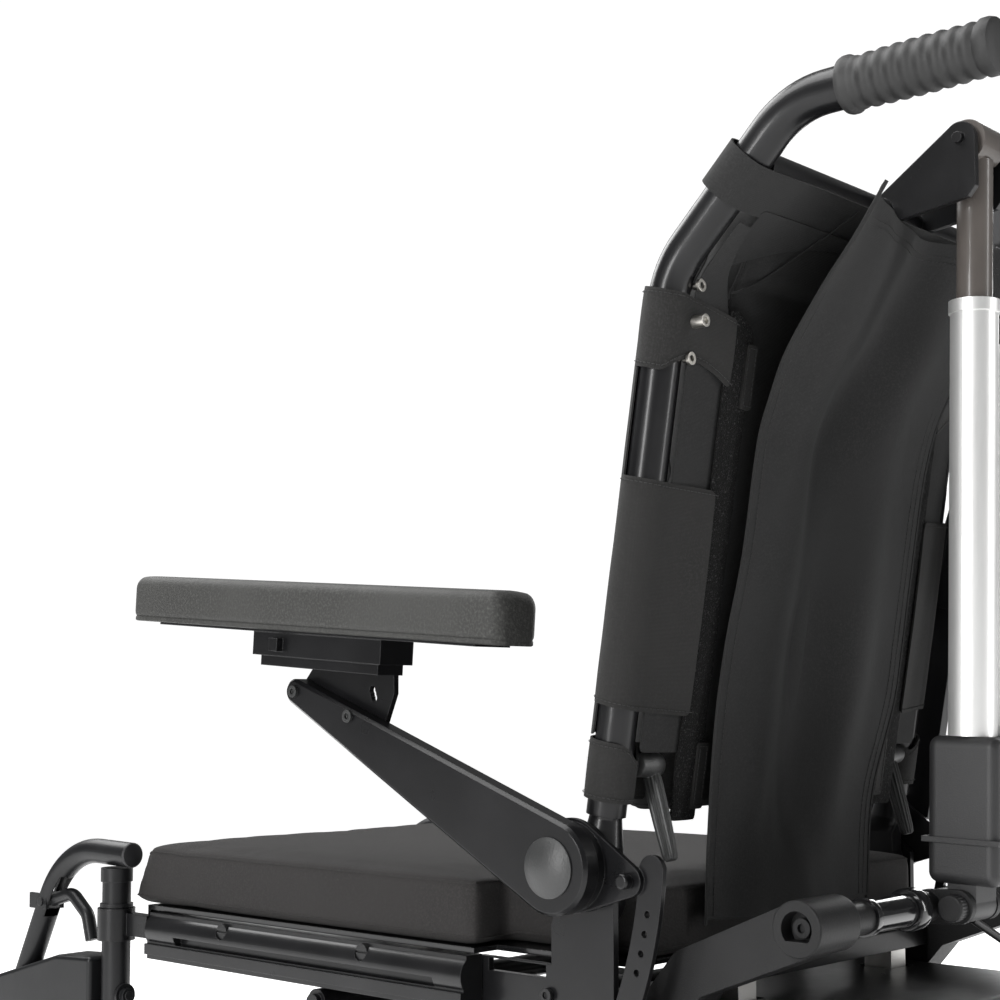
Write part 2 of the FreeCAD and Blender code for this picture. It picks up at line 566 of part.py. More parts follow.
def build_frame_fasteners():
    pieces = []
    for side in SIDES.values():
        for y in ("rail_screw_front", "rail_screw_rear"):
            head = rod("x", ("rail_outer - 7", "rail_outer - 2.2"), ("0", y, "rail_screw_z"), "6.2", side)
            slit = block(("rail_outer - 3.6", "rail_outer"), (f"{y} - 7", f"{y} + 7"),
                         ("rail_screw_z - 0.8", "rail_screw_z + 0.8"), side)
            pieces.append(cut(head, slit))
        for y, z in ((-46.6, 440.5), (-95, 415)):
            pieces.append(screw("x", size("side_outer"), size("side_outer") + 0.5, ("0", y, z), side=side))
    node("frame_fasteners", *pieces)


# ---------------------------------------------------------------- armrests
def build_arm_mounts():
    for name, side in SIDES.items():
        pivot = ("0", "arm_pivot_y", "arm_pivot_z")
        hub = rod("x", ("ear_inner", "beam_inner - 0.3"), pivot, "arm_big_radius - 2", side)
        ear = link(("arm_pivot_y", "arm_pivot_z", "arm_big_radius"), ("ear_y", "ear_z", "ear_radius"),
                   ("ear_inner", "hub_inner"), side)
        pin = rod("x", ("hub_inner", "beam_outer - 3"), pivot, "arm_pin_radius", side)
        knob = rounded(rod("x", ("hub_inner", "hub_inner + 8"), ("0", "ear_y", "ear_z"), "5.5", side), 2)
        mount = fused(hub, ear, pin, knob)
        arm = shaped(height_plate(side))
        node("arm_mount_" + name, fused(mount, arm))


def height_plate(side):
    """The curved height plate: a flat bar on an arc, round at the top, with a row of teeth holes."""
    top = vec(0, size("height_top_y"), size("height_top_z"))
    low = vec(0, size("height_low_y"), size("height_low_z"))
    middle = (top + low) * 0.5 + vec(0, 7, -2)
    half = size("height_half")
    outer = Part.Arc(top, middle, low).toShape()
    arc = outer.Curve
    inner_x, thick = size("ear_inner") - 4.3, 4.3
    centre = arc.Center
    radius = arc.Radius
    near = Part.makeCylinder(radius + half, thick, vec(inner_x, centre.y, centre.z), vec(1, 0, 0))
    near = near.cut(Part.makeCylinder(radius - half, thick, vec(inner_x, centre.y, centre.z), vec(1, 0, 0)))
    box = outer.BoundBox
    keep = Part.makeBox(thick, 90, top.z - low.z, vec(inner_x, box.YMin - half, low.z))
    bar = near.common(keep)
    bar = bar.fuse(Part.makeCylinder(half, thick, vec(inner_x, top.y, top.z), vec(1, 0, 0)))
    bar = bar.fuse(Part.makeCylinder(half + 2, thick, vec(inner_x, low.y, low.z), vec(1, 0, 0)))
    for share in (0.22, 0.32, 0.42, 0.52):
        point = outer.valueAt(outer.FirstParameter + share * (outer.LastParameter - outer.FirstParameter))
        bar = bar.cut(Part.makeCylinder(2.4, thick + 2, vec(inner_x - 1, point.y, point.z), vec(1, 0, 0)))
    bar = bar.removeSplitter()
    return bar if side == LEFT else bar.mirror(vec(0, 0, 0), vec(1, 0, 0))


def tilted(spans, side, radius=0.0):
    """A box tilted about the pad's rear lower edge; spans are relative to that edge."""
    (x_low, x_high), (y_low, y_high), (z_low, z_high) = spans
    solid = Part.makeBox(x_high - x_low, y_high - y_low, z_high - z_low, vec(x_low, y_low, z_low))
    if radius:
        solid = solid.makeFillet(radius, solid.Edges)
    solid.rotate(vec(0, 0, 0), vec(1, 0, 0), -size("pad_tilt"))
    solid.translate(vec(0, size("pad_rear"), size("pad_low")))
    return solid if side == LEFT else solid.mirror(vec(0, 0, 0), vec(1, 0, 0))


def build_armrests():
    for name, side in SIDES.items():
        raised = side == RIGHT
        beam = link(("arm_pivot_y", "arm_pivot_z", "arm_big_radius"),
                    ("arm_tip_y", "arm_tip_z", "arm_tip_radius"), ("beam_inner", "beam_outer"),
                    side, bevel=2.5)
        bore = rod("x", ("beam_inner - 1", "beam_outer + 1"), ("0", "arm_pivot_y", "arm_pivot_z"),
                   "arm_pin_radius + hinge_play", side)
        screw_holes = [rod("x", ("beam_outer - 5", "beam_outer + 1"), ("0", y, z), "3", side)
                       for y, z in ((-284.6, 654), (-221, 635))]
        node("arm_beam_" + name, cut(beam, bore, *screw_holes), raised=raised)

        length = size("pad_rear") - size("pad_front")
        inner, outer = size("pad_inner"), size("pad_outer")
        middle = (inner + outer) / 2
        pad = tilted(((inner, outer), (-length, 0), (0.3, size("pad_thick"))), side, 9)
        node("arm_pad_" + name, shaped(pad), raised=raised)

        under = tilted(((inner + 5, outer - 5), (-length + 38, -18), (-3.5, 0)), side)
        carrier = tilted(((middle - 17, middle + 17), (-262, -115), (-22, -3.5)), side)
        rack = tilted(((middle - 13, middle + 13), (-256, -121), (-30, -22)), side)
        bracket = plate([("-266", "686"), ("-186", "680"), ("-186", "652"), ("-206", "606"),
                         ("-222", "622"), ("-290", "650"), ("-290", "660")],
                        ("beam_inner - 5", "beam_inner - 0.3"), side=side)
        posts = [block(("beam_inner - 0.3", "beam_inner"), (f"{y} - 4", f"{y} + 4"), (f"{z} - 4", f"{z} + 4"),
                       side) for y, z in ((-284, 653), (-221, 634))]
        slot = fused(*[rod("x", ("beam_inner - 6", "beam_inner + 1"), ("0", y, z), "3.2", side)
                       for y, z in ((-210, 655), (-209, 652), (-208, 649))])
        knob = tilted(((middle + 17, middle + 23), (-236, -226), (-18, -8)), side)
        node("arm_bracket_" + name,
             fused(shaped(under), shaped(carrier), shaped(rack), shaped(knob), cut(bracket, slot), *posts),
             raised=raised)

        dome = common(rod("x", ("beam_outer", "beam_outer + cap_tall"),
                          ("0", "arm_pivot_y", "arm_pivot_z"), "cap_radius", side),
                      dome_ball(side))
        heads = [screw("x", size("beam_outer") - 5, size("beam_outer"), ("0", y, z), 2.9, side, 4.8, 2.6)
                 for y, z in ((-284.6, 654), (-221, 635))]
        node("arm_cap_" + name, dome, *heads, raised=raised)


def dome_ball(side):
    """The ball whose top makes the armrest cap round."""
    reach = size("cap_radius")
    tall = size("cap_tall")
    radius = (reach ** 2 + (tall - 1) ** 2) / (2 * (tall - 1))
    ball = doc.addObject("Part::Sphere", "ball")
    ball.Radius = radius
    ball.Placement.Base = vec(side * (size("beam_outer") + tall - radius), size("arm_pivot_y"),
                              size("arm_pivot_z"))
    return ball


def build_joystick():
    side = RIGHT
    x = "stick_x"
    case = rounded(block((f"{x} - stick_half", f"{x} + stick_half"), ("stick_front", "stick_rear"),
                         ("stick_low", "stick_low + stick_tall"), side), 8)
    well = doc.addObject("Part::Sphere", "well")
    well.Radius = 21
    bind(well, "Placement.Base.x", "-stick_x")
    bind(well, "Placement.Base.y", "stick_front + 42")
    bind(well, "Placement.Base.z", "stick_low + stick_tall - 4")
    length = size("pad_rear") - size("pad_front")
    stalk = tilted(((size(x) - 8, size(x) + 8), (-length - 18, -268), (-11.5, -3.6)), side)
    keys = rod("z", ("stick_low + stick_tall - 1", "stick_low + stick_tall + 2"),
               (f"{x}", "stick_rear - 16", "0"), "7", side)
    node("joystick_housing", fused(cut(case, well), keys, shaped(stalk)), raised=True)
    centre = (f"{x}", "stick_front + 42", "0")
    ball = doc.addObject("Part::Sphere", "ball")
    ball.Radius = 9
    for letter, text in zip("xyz", ("-stick_x", "stick_front + 42", "stick_low + stick_tall - 4")):
        bind(ball, "Placement.Base." + letter, text)
    shaft = rod("z", ("stick_low + stick_tall - 2", "stick_low + stick_tall + 26"), centre, "3.5", side)
    grip = rounded(rod("z", ("stick_low + stick_tall + 24", "stick_low + stick_tall + 52"), centre,
                       "11", side), 6)
    node("joystick_stick", fused(shaft, grip), raised=True)
    slot = block((f"{x} - 4.2", f"{x} + 4.2"), ("stick_front + 35", "stick_front + 49"),
                 ("stick_low + stick_tall - 4", "stick_low + stick_tall + 30"), side)
    ring = cut(ball, slot)
    node("joystick_gimbal", ring, raised=True)


# ---------------------------------------------------------------- legrests
def build_legrests():
    for name, side in SIDES.items():
        x, y = "hanger_x", "hanger_y"
        stub = block((f"{x} - 10.5", f"{x} + 1"), (f"{y} + 12", "rail_front"), ("441", "460"), side)
        ring = rod("z", ("clamp_low", "clamp_high"), (x, y, "0"), "clamp_radius", side)
        bore = rod("z", ("clamp_low - 1", "clamp_high + 1"), (x, y, "0"), "hanger_post_radius + 0.05", side)
        node("hanger_receiver_" + name, cut(fused(ring, stub), bore))

        radius = size("hanger_tube_radius")
        px = side * size("hanger_x")
        route = [vec(px, size("hanger_y") + 22, 511), vec(px, -612, 513), vec(px, -738, 275),
                 vec(px, -775, 150)]
        window = block((f"{x} - 7.2", f"{x} + 7.2"), ("lever_y - 9", "lever_y + 30"),
                       ("lever_z - 14", "lever_z + 24"), side)
        tube = cut(shaped(pipe(route, 85, radius, 2)), window)
        plug = shaped(Part.makeCylinder(radius - 2, 5, route[0] + vec(0, -7, 0), vec(0, 1, 0)))
        post = rod("z", ("hanger_post_low", "hanger_post_high"), (x, y, "0"), "hanger_post_radius", side)
        collar = rod("z", ("clamp_high + 0.4", "clamp_high + 4"), (x, y, "0"), "hanger_post_radius + 2", side)
        cap = rod("z", ("hanger_post_high - 10", "hanger_post_high + 2"), (x, y, "0"),
                  "hanger_post_radius + 1.5", side)
        shell = plate([(f"{y} - 13.2", "421"), ("-600", "418"), ("-706", "388"), ("-738", "352"),
                       ("-744", "330"), (f"{y} - 13.2", "344")], (f"{x} - 19", f"{x} + 19"), side=side)
        shell = rounded(shell, 4)
        brace = block((f"{x} - 12", f"{x} + 12"), (f"{y} - 16", f"{y}"), ("356", "376"), side)
        bolt = fused(rod("y", (f"{y}", f"{y} + 21"), (x, "0", "389"), "4", side),
                     rod("y", (f"{y} + 12.6", f"{y} + 15"), (x, "0", "389"), "10", side),
                     rod("y", (f"{y} + 15", f"{y} + 20"), (x, "0", "389"), "6.5", side))
        heel = rod("x", (f"{x} - 12.4", f"{x} + 15"), ("0", "-775", "foot_pivot_z + 12"), "11", side)
        hinge = rod("y", ("-812", "-738"), ("foot_pivot_x", "0", "foot_pivot_z"), "6", side)
        neck = block((f"{x} - 9", f"{x} + 9"), ("-784", "-766"), ("foot_pivot_z", "165"), side)
        lugs = [block((f"{x} + {low}", f"{x} + {low + 3}"), ("lever_y - 20", "lever_y + 7"),
                      ("lever_z - 7", "lever_z + 7"), side) for low in (-9.7, 6.7)]
        spindle = rod("x", (f"{x} - 12", f"{x} + 12"), ("0", "lever_y", "lever_z"), "4", side)
        frame = fused(tube, plug, post, collar, cap, shell, brace, heel, hinge, neck, bolt, *lugs, spindle)
        node("hanger_" + name, frame)

        tread = block(("foot_inner", "foot_outer"), ("foot_front", "foot_rear"),
                      ("foot_low", "foot_low + foot_thick"), side)
        tread = rounded(tread, 14, lambda e: e.BoundBox.ZLength > 5)
        ribs = [block(("foot_inner + 14", "foot_outer - 14"), (f"{y_rib}", f"{y_rib + 5}"),
                      ("foot_low + foot_thick", "foot_low + foot_thick + 2"), side)
                for y_rib in range(-890, -765, 14)]
        arms = []
        for front in ("-809", "-757"):
            knuckle = rod("y", (front, f"{front} + 16"), ("foot_pivot_x", "0", "foot_pivot_z"), "10.5", side)
            bridge = block(("foot_outer - 12", "foot_pivot_x"), (front, f"{front} + 16"),
                           ("foot_low", "foot_low + foot_thick"), side)
            arms += [knuckle, bridge]
        bore = rod("y", ("-820", "-730"), ("foot_pivot_x", "0", "foot_pivot_z"), "6.06", side)
        node("footplate_" + name, cut(fused(tread, *ribs, *arms), bore))

        pivot = vec(0, size("lever_y"), size("lever_z"))
        points = [pivot, pivot + vec(0, 36, 9), pivot + vec(0, 60, -8), pivot + vec(0, 67, -30)]
        grip = swept([p + vec(px, 0, 0) for p in points], 14, 6)
        eye = rod("x", (f"{x} - 6.5", f"{x} + 6.5"), ("0", "lever_y", "lever_z"), "8", side)
        spindle_bore = rod("x", (f"{x} - 20", f"{x} + 20"), ("0", "lever_y", "lever_z"), "4.05", side)
        node("release_lever_" + name, cut(fused(shaped(grip), eye), spindle_bore))


# ---------------------------------------------------------------- backrest
def build_backrest():
    radius, wall = size("post_radius"), size("post_wall")
    for name, side in SIDES.items():
        x = side * size("post_x")
        route = [vec(x, size("post_foot_y"), size("post_foot_z")),
                 vec(x, size("post_bend_y"), size("post_bend_z")),
                 vec(x, size("post_top_y"), size("post_top_z")),
                 vec(x, size("grip_rear") - 6, size("post_top_z"))]
        tube = shaped(pipe(route, size("post_bend_radius"), radius, wall))
        socket = shaped(hinge_socket(side))
        bore = rod("x", ("hinge_inner - 3", "hinge_outer + 3"), ("0", "hinge_y", "hinge_z"),
                   "hinge_pin_radius + hinge_play", side)
        stud = rod("x", ("clamp_inner + 5", "post_x - 7"), ("0", "clamp_y", "clamp_z"),
                   "clamp_stud_radius", side)
        node("back_post_" + name, fused(tube, stud), cut(socket, bore))

    grips = []
    for side in SIDES.values():
        sleeve = rod("y", ("grip_front", "grip_rear"), ("post_x", "0", "post_top_z"), "grip_radius", side)
        bore = rod("y", ("grip_front - 1", "grip_rear - 5"), ("post_x", "0", "post_top_z"),
                   "post_radius + 0.1", side)
        grips.append(cut(rounded(sleeve, 4), bore))
    node("push_grips", *grips)

    cross_y = size("post_bend_y") + (size("cross_z") - size("post_bend_z"))
    bar = Part.makeCylinder(size("cross_radius"), 2 * size("post_x") - 2 * radius - 2,
                            vec(-size("post_x") + radius + 1, cross_y, size("cross_z")), vec(1, 0, 0))
    eye = vec(0, size("drive_top_y"), size("drive_top_z"))
    lugs = []
    for x in (-24, 19):
        corners = [vec(x, cross_y + across, size("cross_z") + up)
                   for across, up in ((-8, 8), (-8, -8), (8, -8))]
        corners += [vec(x, eye.y + across, eye.z + up)
                    for across, up in ((6, -43), (12, -36), (12, 0), (-8, 9))]
        lug = Part.Face(Part.makePolygon(corners + corners[:1])).extrude(vec(5, 0, 0))
        lugs.append(lug.fuse(Part.makeCylinder(12, 5, vec(x, eye.y, eye.z), vec(1, 0, 0))))
    pin = Part.makeCylinder(4, 56, vec(-28, eye.y, eye.z), vec(1, 0, 0))
    bar = bar.multiFuse(lugs + [pin]).removeSplitter()
    node("back_crossbar", shaped(bar))

    straps = []
    for side in SIDES.values():
        for low, high in (("strap_one_low", "strap_one_high"), ("strap_two_low", "strap_two_high"),
                          ("strap_three_low", "strap_three_high")):
            straps.append(shaped(strap(size(low), size(high), side)))
    node("back_straps", *straps)

    node("back_cushion", shaped(back_pad()))
    node("back_flap", shaped(leaning(size("flap_half"), size("flap_low"), size("flap_high"),
                                     size("flap_offset"), size("flap_offset") + size("flap_thick"))))

    screws = []
    for side in SIDES.values():
        for height, tall in ((929, 2.5), (904.5, 10.5), (880, 2.5)):
            y = post_y(height) + (14.8 if height > 920 else 13.6)
            screws.append(screw("y", y, y + 4.4, (size("post_x") - 8, 0, height), 2.5, side, 4.5, tall))
    node("post_screws", *screws)


def hinge_socket(side):
    """The glossy forging that takes the post's foot and turns on the hinge pin."""
    inner, outer = size("hinge_inner"), size("hinge_outer")
    top = vec(size("post_x"), size("post_foot_y"), size("post_foot_z"))
    lean = vec(0, post_y(600) - post_y(500), 100).normalize()
    ring = Part.Wire(Part.makeCircle(size("post_radius") - 2.4, top - lean * 2, lean))
    waist_centre = top - lean * 20
    waist = Part.Wire(Part.makeCircle(size("post_radius") + 0.6, waist_centre, lean))
    toe = size("hinge_z") + 24.5
    wide = size("hinge_radius") - 2
    corners = [vec(inner, size("hinge_y") - wide, toe), vec(outer, size("hinge_y") - wide, toe),
               vec(outer, size("hinge_y") + wide, toe), vec(inner, size("hinge_y") + wide, toe)]
    skirt = Part.makePolygon(corners + corners[:1])
    upper = Part.makeLoft([waist, ring], True, True)
    throat = Part.makeLoft([skirt, waist], True, True)
    disc = Part.makeCylinder(size("hinge_radius"), outer - inner,
                             vec(inner, size("hinge_y"), size("hinge_z")), vec(1, 0, 0))
    tongue = Part.makeCylinder(size("post_radius") - 2.4, 60, top - lean * 10, lean)
    neck = Part.makeBox(outer - inner, 2 * wide, toe - size("hinge_z"),
                        vec(inner, size("hinge_y") - wide, size("hinge_z")))
    solid = disc.fuse([neck, throat, upper, tongue]).removeSplitter()
    return solid if side == LEFT else solid.mirror(vec(0, 0, 0), vec(1, 0, 0))


def leaning(half, low, high, front, rear):
    """A slab between two distances behind the line of the posts."""
    corners = [vec(-half, post_y(low) + front, low), vec(-half, post_y(high) + front, high),
               vec(-half, post_y(high) + rear, high), vec(-half, post_y(low) + rear, low)]
    face = Part.Face(Part.makePolygon(corners + corners[:1]))
    return face.extrude(vec(2 * half, 0, 0))


def back_pad():
    """The back cushion: a slab in front of the posts' line whose top follows their bend."""
    half = size("back_half")
    low, high, bend = size("back_low"), size("back_high"), size("post_bend_z")
    front, rear = size("back_front"), size("back_rear")
    over = high - bend
    corners = [vec(-half, post_y(low) - front, low), vec(-half, post_y(bend) - front, bend),
               vec(-half, post_y(bend) - front + 0.7 * over, high),
               vec(-half, post_y(bend) + rear * 0.2 + 0.7 * over, high - 14),
               vec(-half, post_y(bend) + rear * 0.5, bend - 14), vec(-half, post_y(low) + rear, low)]
    face = Part.Face(Part.makePolygon(corners + corners[:1]))
    return face.extrude(vec(2 * half, 0, 0))


def strap(low, high, side):
    """A fabric sleeve round a post with its tail lying behind the back cushion."""
    inner = size("post_radius") + size("strap_gap")
    outer = inner + size("strap_thick")
    start = vec(size("post_x"), post_y(low), low)
    lean = vec(0, post_y(high) - post_y(low), high - low)
    sleeve = Part.makeCylinder(outer, lean.Length, start, lean)
    sleeve = sleeve.cut(Part.makeCylinder(inner, lean.Length + 2, start - lean * 0.01, lean))
    tail = leaning(20, low + 4, high - 4, size("back_rear") + 1.5, size("back_rear") + 4)
    tail.translate(vec(size("post_x") - size("post_radius") - 26, 0, 0))
    tail = tail.cut(Part.makeCylinder(inner, lean.Length + 2, start - lean * 0.01, lean))
    return_flap = leaning(10, low + 4, high - 4, size("post_radius") - 4, size("back_rear") + 4)
    return_flap.translate(vec(size("post_x") - size("post_radius") - 2, 0, 0))
    return_flap = return_flap.cut(Part.makeCylinder(inner, lean.Length + 2, start - lean * 0.01, lean))
    solid = sleeve if low < size("clamp_z") else sleeve.fuse([tail, return_flap]).removeSplitter()
    for height in (904.5, 880):
        behind = vec(size("post_x") - 8, post_y(height), height)
        hole = Part.makeCylinder(2.8, 40, behind, vec(0, 1, 0))
        seat = Part.makeCylinder(5, 40, behind + vec(0, 17.6, 0), vec(0, 1, 0))
        solid = solid.cut(hole).cut(seat)
    return solid if side == LEFT else solid.mirror(vec(0, 0, 0), vec(1, 0, 0))


def build_clamp_levers():
    centre = vec(0, size("clamp_y"), size("clamp_z"))
    inner, outer = size("clamp_inner"), size("clamp_outer")
    stud_radius = size("clamp_stud_radius") + size("hinge_play")
    for name, side in SIDES.items():
        hub = Part.makeCylinder(8.5, outer - inner, centre + vec(inner, 0, 0), vec(1, 0, 0))
        handle = Part.makeCone(7.5, 5.5, 66, centre + vec(inner + 9, 2, -2), vec(0, 18, -62))
        lever = hub.fuse(handle).removeSplitter()
        lever = lever.cut(Part.makeCylinder(stud_radius, 60, centre + vec(inner + 4, 0, 0), vec(1, 0, 0)))
        if side == RIGHT:
            lever = lever.mirror(vec(0, 0, 0), vec(1, 0, 0))
        node("clamp_lever_" + name, shaped(lever))


# ---------------------------------------------------------------- actuator
def build_actuator():
    pivot = vec(0, size("drive_pivot_y"), size("drive_pivot_z"))
    eye = vec(0, size("drive_top_y"), size("drive_top_z"))
    along = (eye - pivot).normalize()
    square = FreeCAD.Rotation(vec(0, 0, 1), along)
    lower = FreeCAD.Placement(pivot, square)
    reach = (eye - pivot).Length

    def stood(shape):
        moved = shape.copy()
        moved.Placement = lower.multiply(moved.Placement)
        return moved

    foot = Part.makeCylinder(11.4, 30, vec(-15, 0, 0), vec(1, 0, 0))
    neck = Part.makeBox(30, 22, 16, vec(-15, -11, 0))
    case = Part.makeBox(80, 55, 104, vec(-60, -26, 15))
    case = case.makeFillet(8, case.Edges)
    rib = Part.makeBox(84, 59, 4, vec(-62, -28, 44))
    bore = Part.makeCylinder(6.06, 200, vec(-100, 0, 0), vec(1, 0, 0))
    housing = case.fuse([foot, neck, rib]).removeSplitter().cut(bore)
    node("actuator_housing", shaped(stood(housing)))

    radius, top = size("outer_tube_radius"), size("outer_tube_top")
    rod_radius = size("rod_radius")
    tube = Part.makeCylinder(radius, top - 119, vec(0, 0, 119))
    ring = Part.makeCylinder(radius + 1.2, 9, vec(0, 0, top - 9))
    hole = Part.makeCylinder(rod_radius + 0.05, top - 130, vec(0, 0, 131))
    motor = Part.makeCylinder(15, 276, vec(-size("motor_offset"), 0, 119))
    cap = Part.makeCylinder(12, 8, vec(-size("motor_offset"), 0, 395))
    node("actuator_tube", shaped(stood(tube.fuse(ring).cut(hole))), shaped(stood(motor.fuse(cap))))

    foot_high = 234
    shaft = Part.makeCylinder(rod_radius, reach - 12 - foot_high, vec(0, 0, foot_high))
    end = Part.makeCylinder(15.5, 30, vec(-15, 0, reach), vec(1, 0, 0))
    slack = Part.makeCylinder(size("eye_slack"), 60, vec(-30, 0, reach), vec(1, 0, 0))
    node("actuator_rod", shaped(stood(shaft.fuse(end).cut(slack).removeSplitter())))


def build_cables():
    first = [vec(-40, 152, 487), vec(-76, 163, 466), vec(-108, 158, 452), vec(-120, 142, 435)]
    second = [vec(-138, 152, 486), vec(-141, 166, 468), vec(-128, 164, 452), vec(-108, 142, 435)]
    cables = [shaped(swept(line, 14, 3)) for line in (first, second)]
    node("control_cables", *cables)


def build_all():
    build_base()
    build_batteries()
    build_control()
    build_drive()
    build_casters()
    build_seat()
    build_rear_arms()
    build_frame_fasteners()
    build_arm_mounts()
    build_armrests()
    build_joystick()
    build_legrests()
    build_backrest()
    build_clamp_levers()
    build_actuator()
    build_cables()


def check_and_write():
    doc.recompute()
    broken = [thing.Name for thing in doc.Objects if {"Invalid", "Error"} & set(thing.State)]
    for part in parts:
        if part.Shape.isNull() or not part.Shape.isValid() or not part.Shape.Solids:
            broken.append(part.Label)
    if broken:
        raise RuntimeError("failed objects: " + ", ".join(broken))
    os.makedirs("parts", exist_ok=True)
    for part in parts:
        part.Shape.exportStep(f"parts/{part.Label}.step")


build_all()
check_and_write()
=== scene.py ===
import json
import math

import bmesh
import bpy
from mathutils import Matrix, Vector, noise


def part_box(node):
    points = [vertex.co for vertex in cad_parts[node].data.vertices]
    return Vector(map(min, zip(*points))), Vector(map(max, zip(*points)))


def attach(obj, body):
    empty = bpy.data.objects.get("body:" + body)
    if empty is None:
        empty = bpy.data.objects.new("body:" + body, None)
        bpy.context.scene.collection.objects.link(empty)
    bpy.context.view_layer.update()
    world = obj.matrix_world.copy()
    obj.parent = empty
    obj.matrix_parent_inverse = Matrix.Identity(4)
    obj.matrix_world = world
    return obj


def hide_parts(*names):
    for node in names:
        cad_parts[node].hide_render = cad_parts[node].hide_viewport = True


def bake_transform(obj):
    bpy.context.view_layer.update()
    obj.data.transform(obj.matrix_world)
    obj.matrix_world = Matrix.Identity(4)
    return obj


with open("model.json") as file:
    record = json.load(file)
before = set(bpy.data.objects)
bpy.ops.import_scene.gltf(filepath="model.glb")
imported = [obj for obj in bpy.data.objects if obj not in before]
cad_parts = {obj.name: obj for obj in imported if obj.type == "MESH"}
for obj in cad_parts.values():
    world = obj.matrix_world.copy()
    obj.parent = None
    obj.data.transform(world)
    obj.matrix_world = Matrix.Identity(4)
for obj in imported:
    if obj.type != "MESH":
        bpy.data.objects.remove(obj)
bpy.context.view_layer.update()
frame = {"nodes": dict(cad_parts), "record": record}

nodes = frame["nodes"]
scene = bpy.context.scene
SIDES = {"left": 1, "right": -1}

# ---------------------------------------------------------------- places, in millimetres
# The back posts' feet stand at Y = 0 of the design; the frame's origin is DATUM_Y in front of them.
MM = 0.001
DATUM_Y = 302.5
POST_X = 194
POST_RADIUS = 14
FOOT = Vector((-2.6, 568))
BEND = Vector((57, 941))
TOP = Vector((156, 1036))
BEND_RADIUS = 62
ARM_PIVOT = (-19.5, 533)
ARM_RAISED = math.radians(-80)
PAD_REAR, PAD_LOW, PAD_TILT = -48, 684.5, math.radians(-4.1)
CUSHION_TOP, CUSHION_LOW = 520, 468.5


def at(x, y, z):
    """A point of the design, in the frame's metres."""
    return Vector((x * MM, (y + DATUM_Y) * MM, z * MM))


def raised(point):
    """Where a point of the right armrest's design lies with that arm swung up."""
    y, z = point.y - ARM_PIVOT[0], point.z - ARM_PIVOT[1]
    cos, sin = math.cos(ARM_RAISED), math.sin(ARM_RAISED)
    return Vector((point.x, ARM_PIVOT[0] + y * cos - z * sin, ARM_PIVOT[1] + y * sin + z * cos))


LOWER = (BEND - FOOT).normalized()
UPPER = (TOP - BEND).normalized()
TURN = LOWER.angle(UPPER)
CORNER_REACH = BEND_RADIUS * math.tan(TURN / 2)
STRAIGHT = (BEND - FOOT).length - CORNER_REACH
ARC = BEND_RADIUS * TURN


def back_line(along):
    """The (y, z) of the posts' axis and its direction, so many millimetres from the foot."""
    if along < STRAIGHT:
        return FOOT + LOWER * along, LOWER
    if along < STRAIGHT + ARC:
        turn = (along - STRAIGHT) / BEND_RADIUS
        start = FOOT + LOWER * STRAIGHT
        inward = Vector((LOWER.y, -LOWER.x))
        centre = start + inward * BEND_RADIUS
        direction = Vector((LOWER.x * math.cos(turn) + LOWER.y * math.sin(turn),
                            LOWER.y * math.cos(turn) - LOWER.x * math.sin(turn)))
        return centre - Vector((direction.y, -direction.x)) * BEND_RADIUS, direction
    return BEND + UPPER * (along - STRAIGHT - ARC + CORNER_REACH), UPPER


def behind(x, along, offset):
    """A point of the design at a distance behind the posts' axis."""
    centre, direction = back_line(along)
    return Vector((x, centre.x + direction.y * offset, centre.y - direction.x * offset))


def along_at(height):
    """How far from the foot the straight part of the posts reaches a height."""
    return (height - FOOT.y) / LOWER.y


def framed(point):
    return at(point.x, point.y, point.z)


def design(point):
    """The design's x, y and z, in millimetres, of a point of the frame."""
    return point.x / MM, point.y / MM - DATUM_Y, point.z / MM


# ---------------------------------------------------------------- camera, lights and floor
CAMERA_PLACE = Vector((1.13866, 1.06673, 0.64912))
CAMERA_YAW = math.radians(42.54)
CAMERA_PITCH = math.radians(3.38)
CAMERA_FOCAL = 62.58
CAMERA_SHIFT = 0.095
BACKDROP_LIGHT = 1.05
ROOM_LIGHT = 0.15
FLOOR_REACH, FLOOR_PALE, FLOOR_GLOW = 14, 0.82, 0.88
# Each soft box: its place, what it faces, its width and height, and its power in watts.
SOFT_BOXES = {
    "key": ((3.3, 0.15, 1.5), (0, 0.2, 0.8), (0.55, 2.4), 90),
    "top": ((0.8, -0.5, 3.1), (0, 0.1, 0.5), (1.6, 2.4), 75),
    "back_right": ((-1.4, 3.0, 1.3), (0, 0.3, 0.8), (0.45, 2.0), 32),
    "front": ((-0.2, -2.3, 2.7), (0, -0.2, 0.5), (1.8, 1.8), 60),
    "right": ((-3.2, -0.4, 1.6), (0, 0, 0.6), (1.2, 1.8), 45),
}


def add_camera():
    data = bpy.data.cameras.new("camera")
    data.lens = CAMERA_FOCAL
    data.sensor_width = 36
    data.shift_y = CAMERA_SHIFT
    data.clip_start = 0.02
    camera = bpy.data.objects.new("camera", data)
    scene.collection.objects.link(camera)
    look = Vector((-math.cos(CAMERA_YAW) * math.cos(CAMERA_PITCH),
                   -math.sin(CAMERA_YAW) * math.cos(CAMERA_PITCH), math.sin(CAMERA_PITCH)))
    camera.rotation_euler = look.to_track_quat("-Z", "Y").to_euler()
    camera.location = CAMERA_PLACE
    scene.camera = camera


def add_area_light(name, place, target, width, power):
    data = bpy.data.lights.new(name, "AREA")
    data.shape = "RECTANGLE"
    data.size, data.size_y = width
    data.energy = power
    light = bpy.data.objects.new(name, data)
    scene.collection.objects.link(light)
    light.location = place
    light.rotation_euler = (Vector(target) - Vector(place)).to_track_quat("-Z", "Y").to_euler()


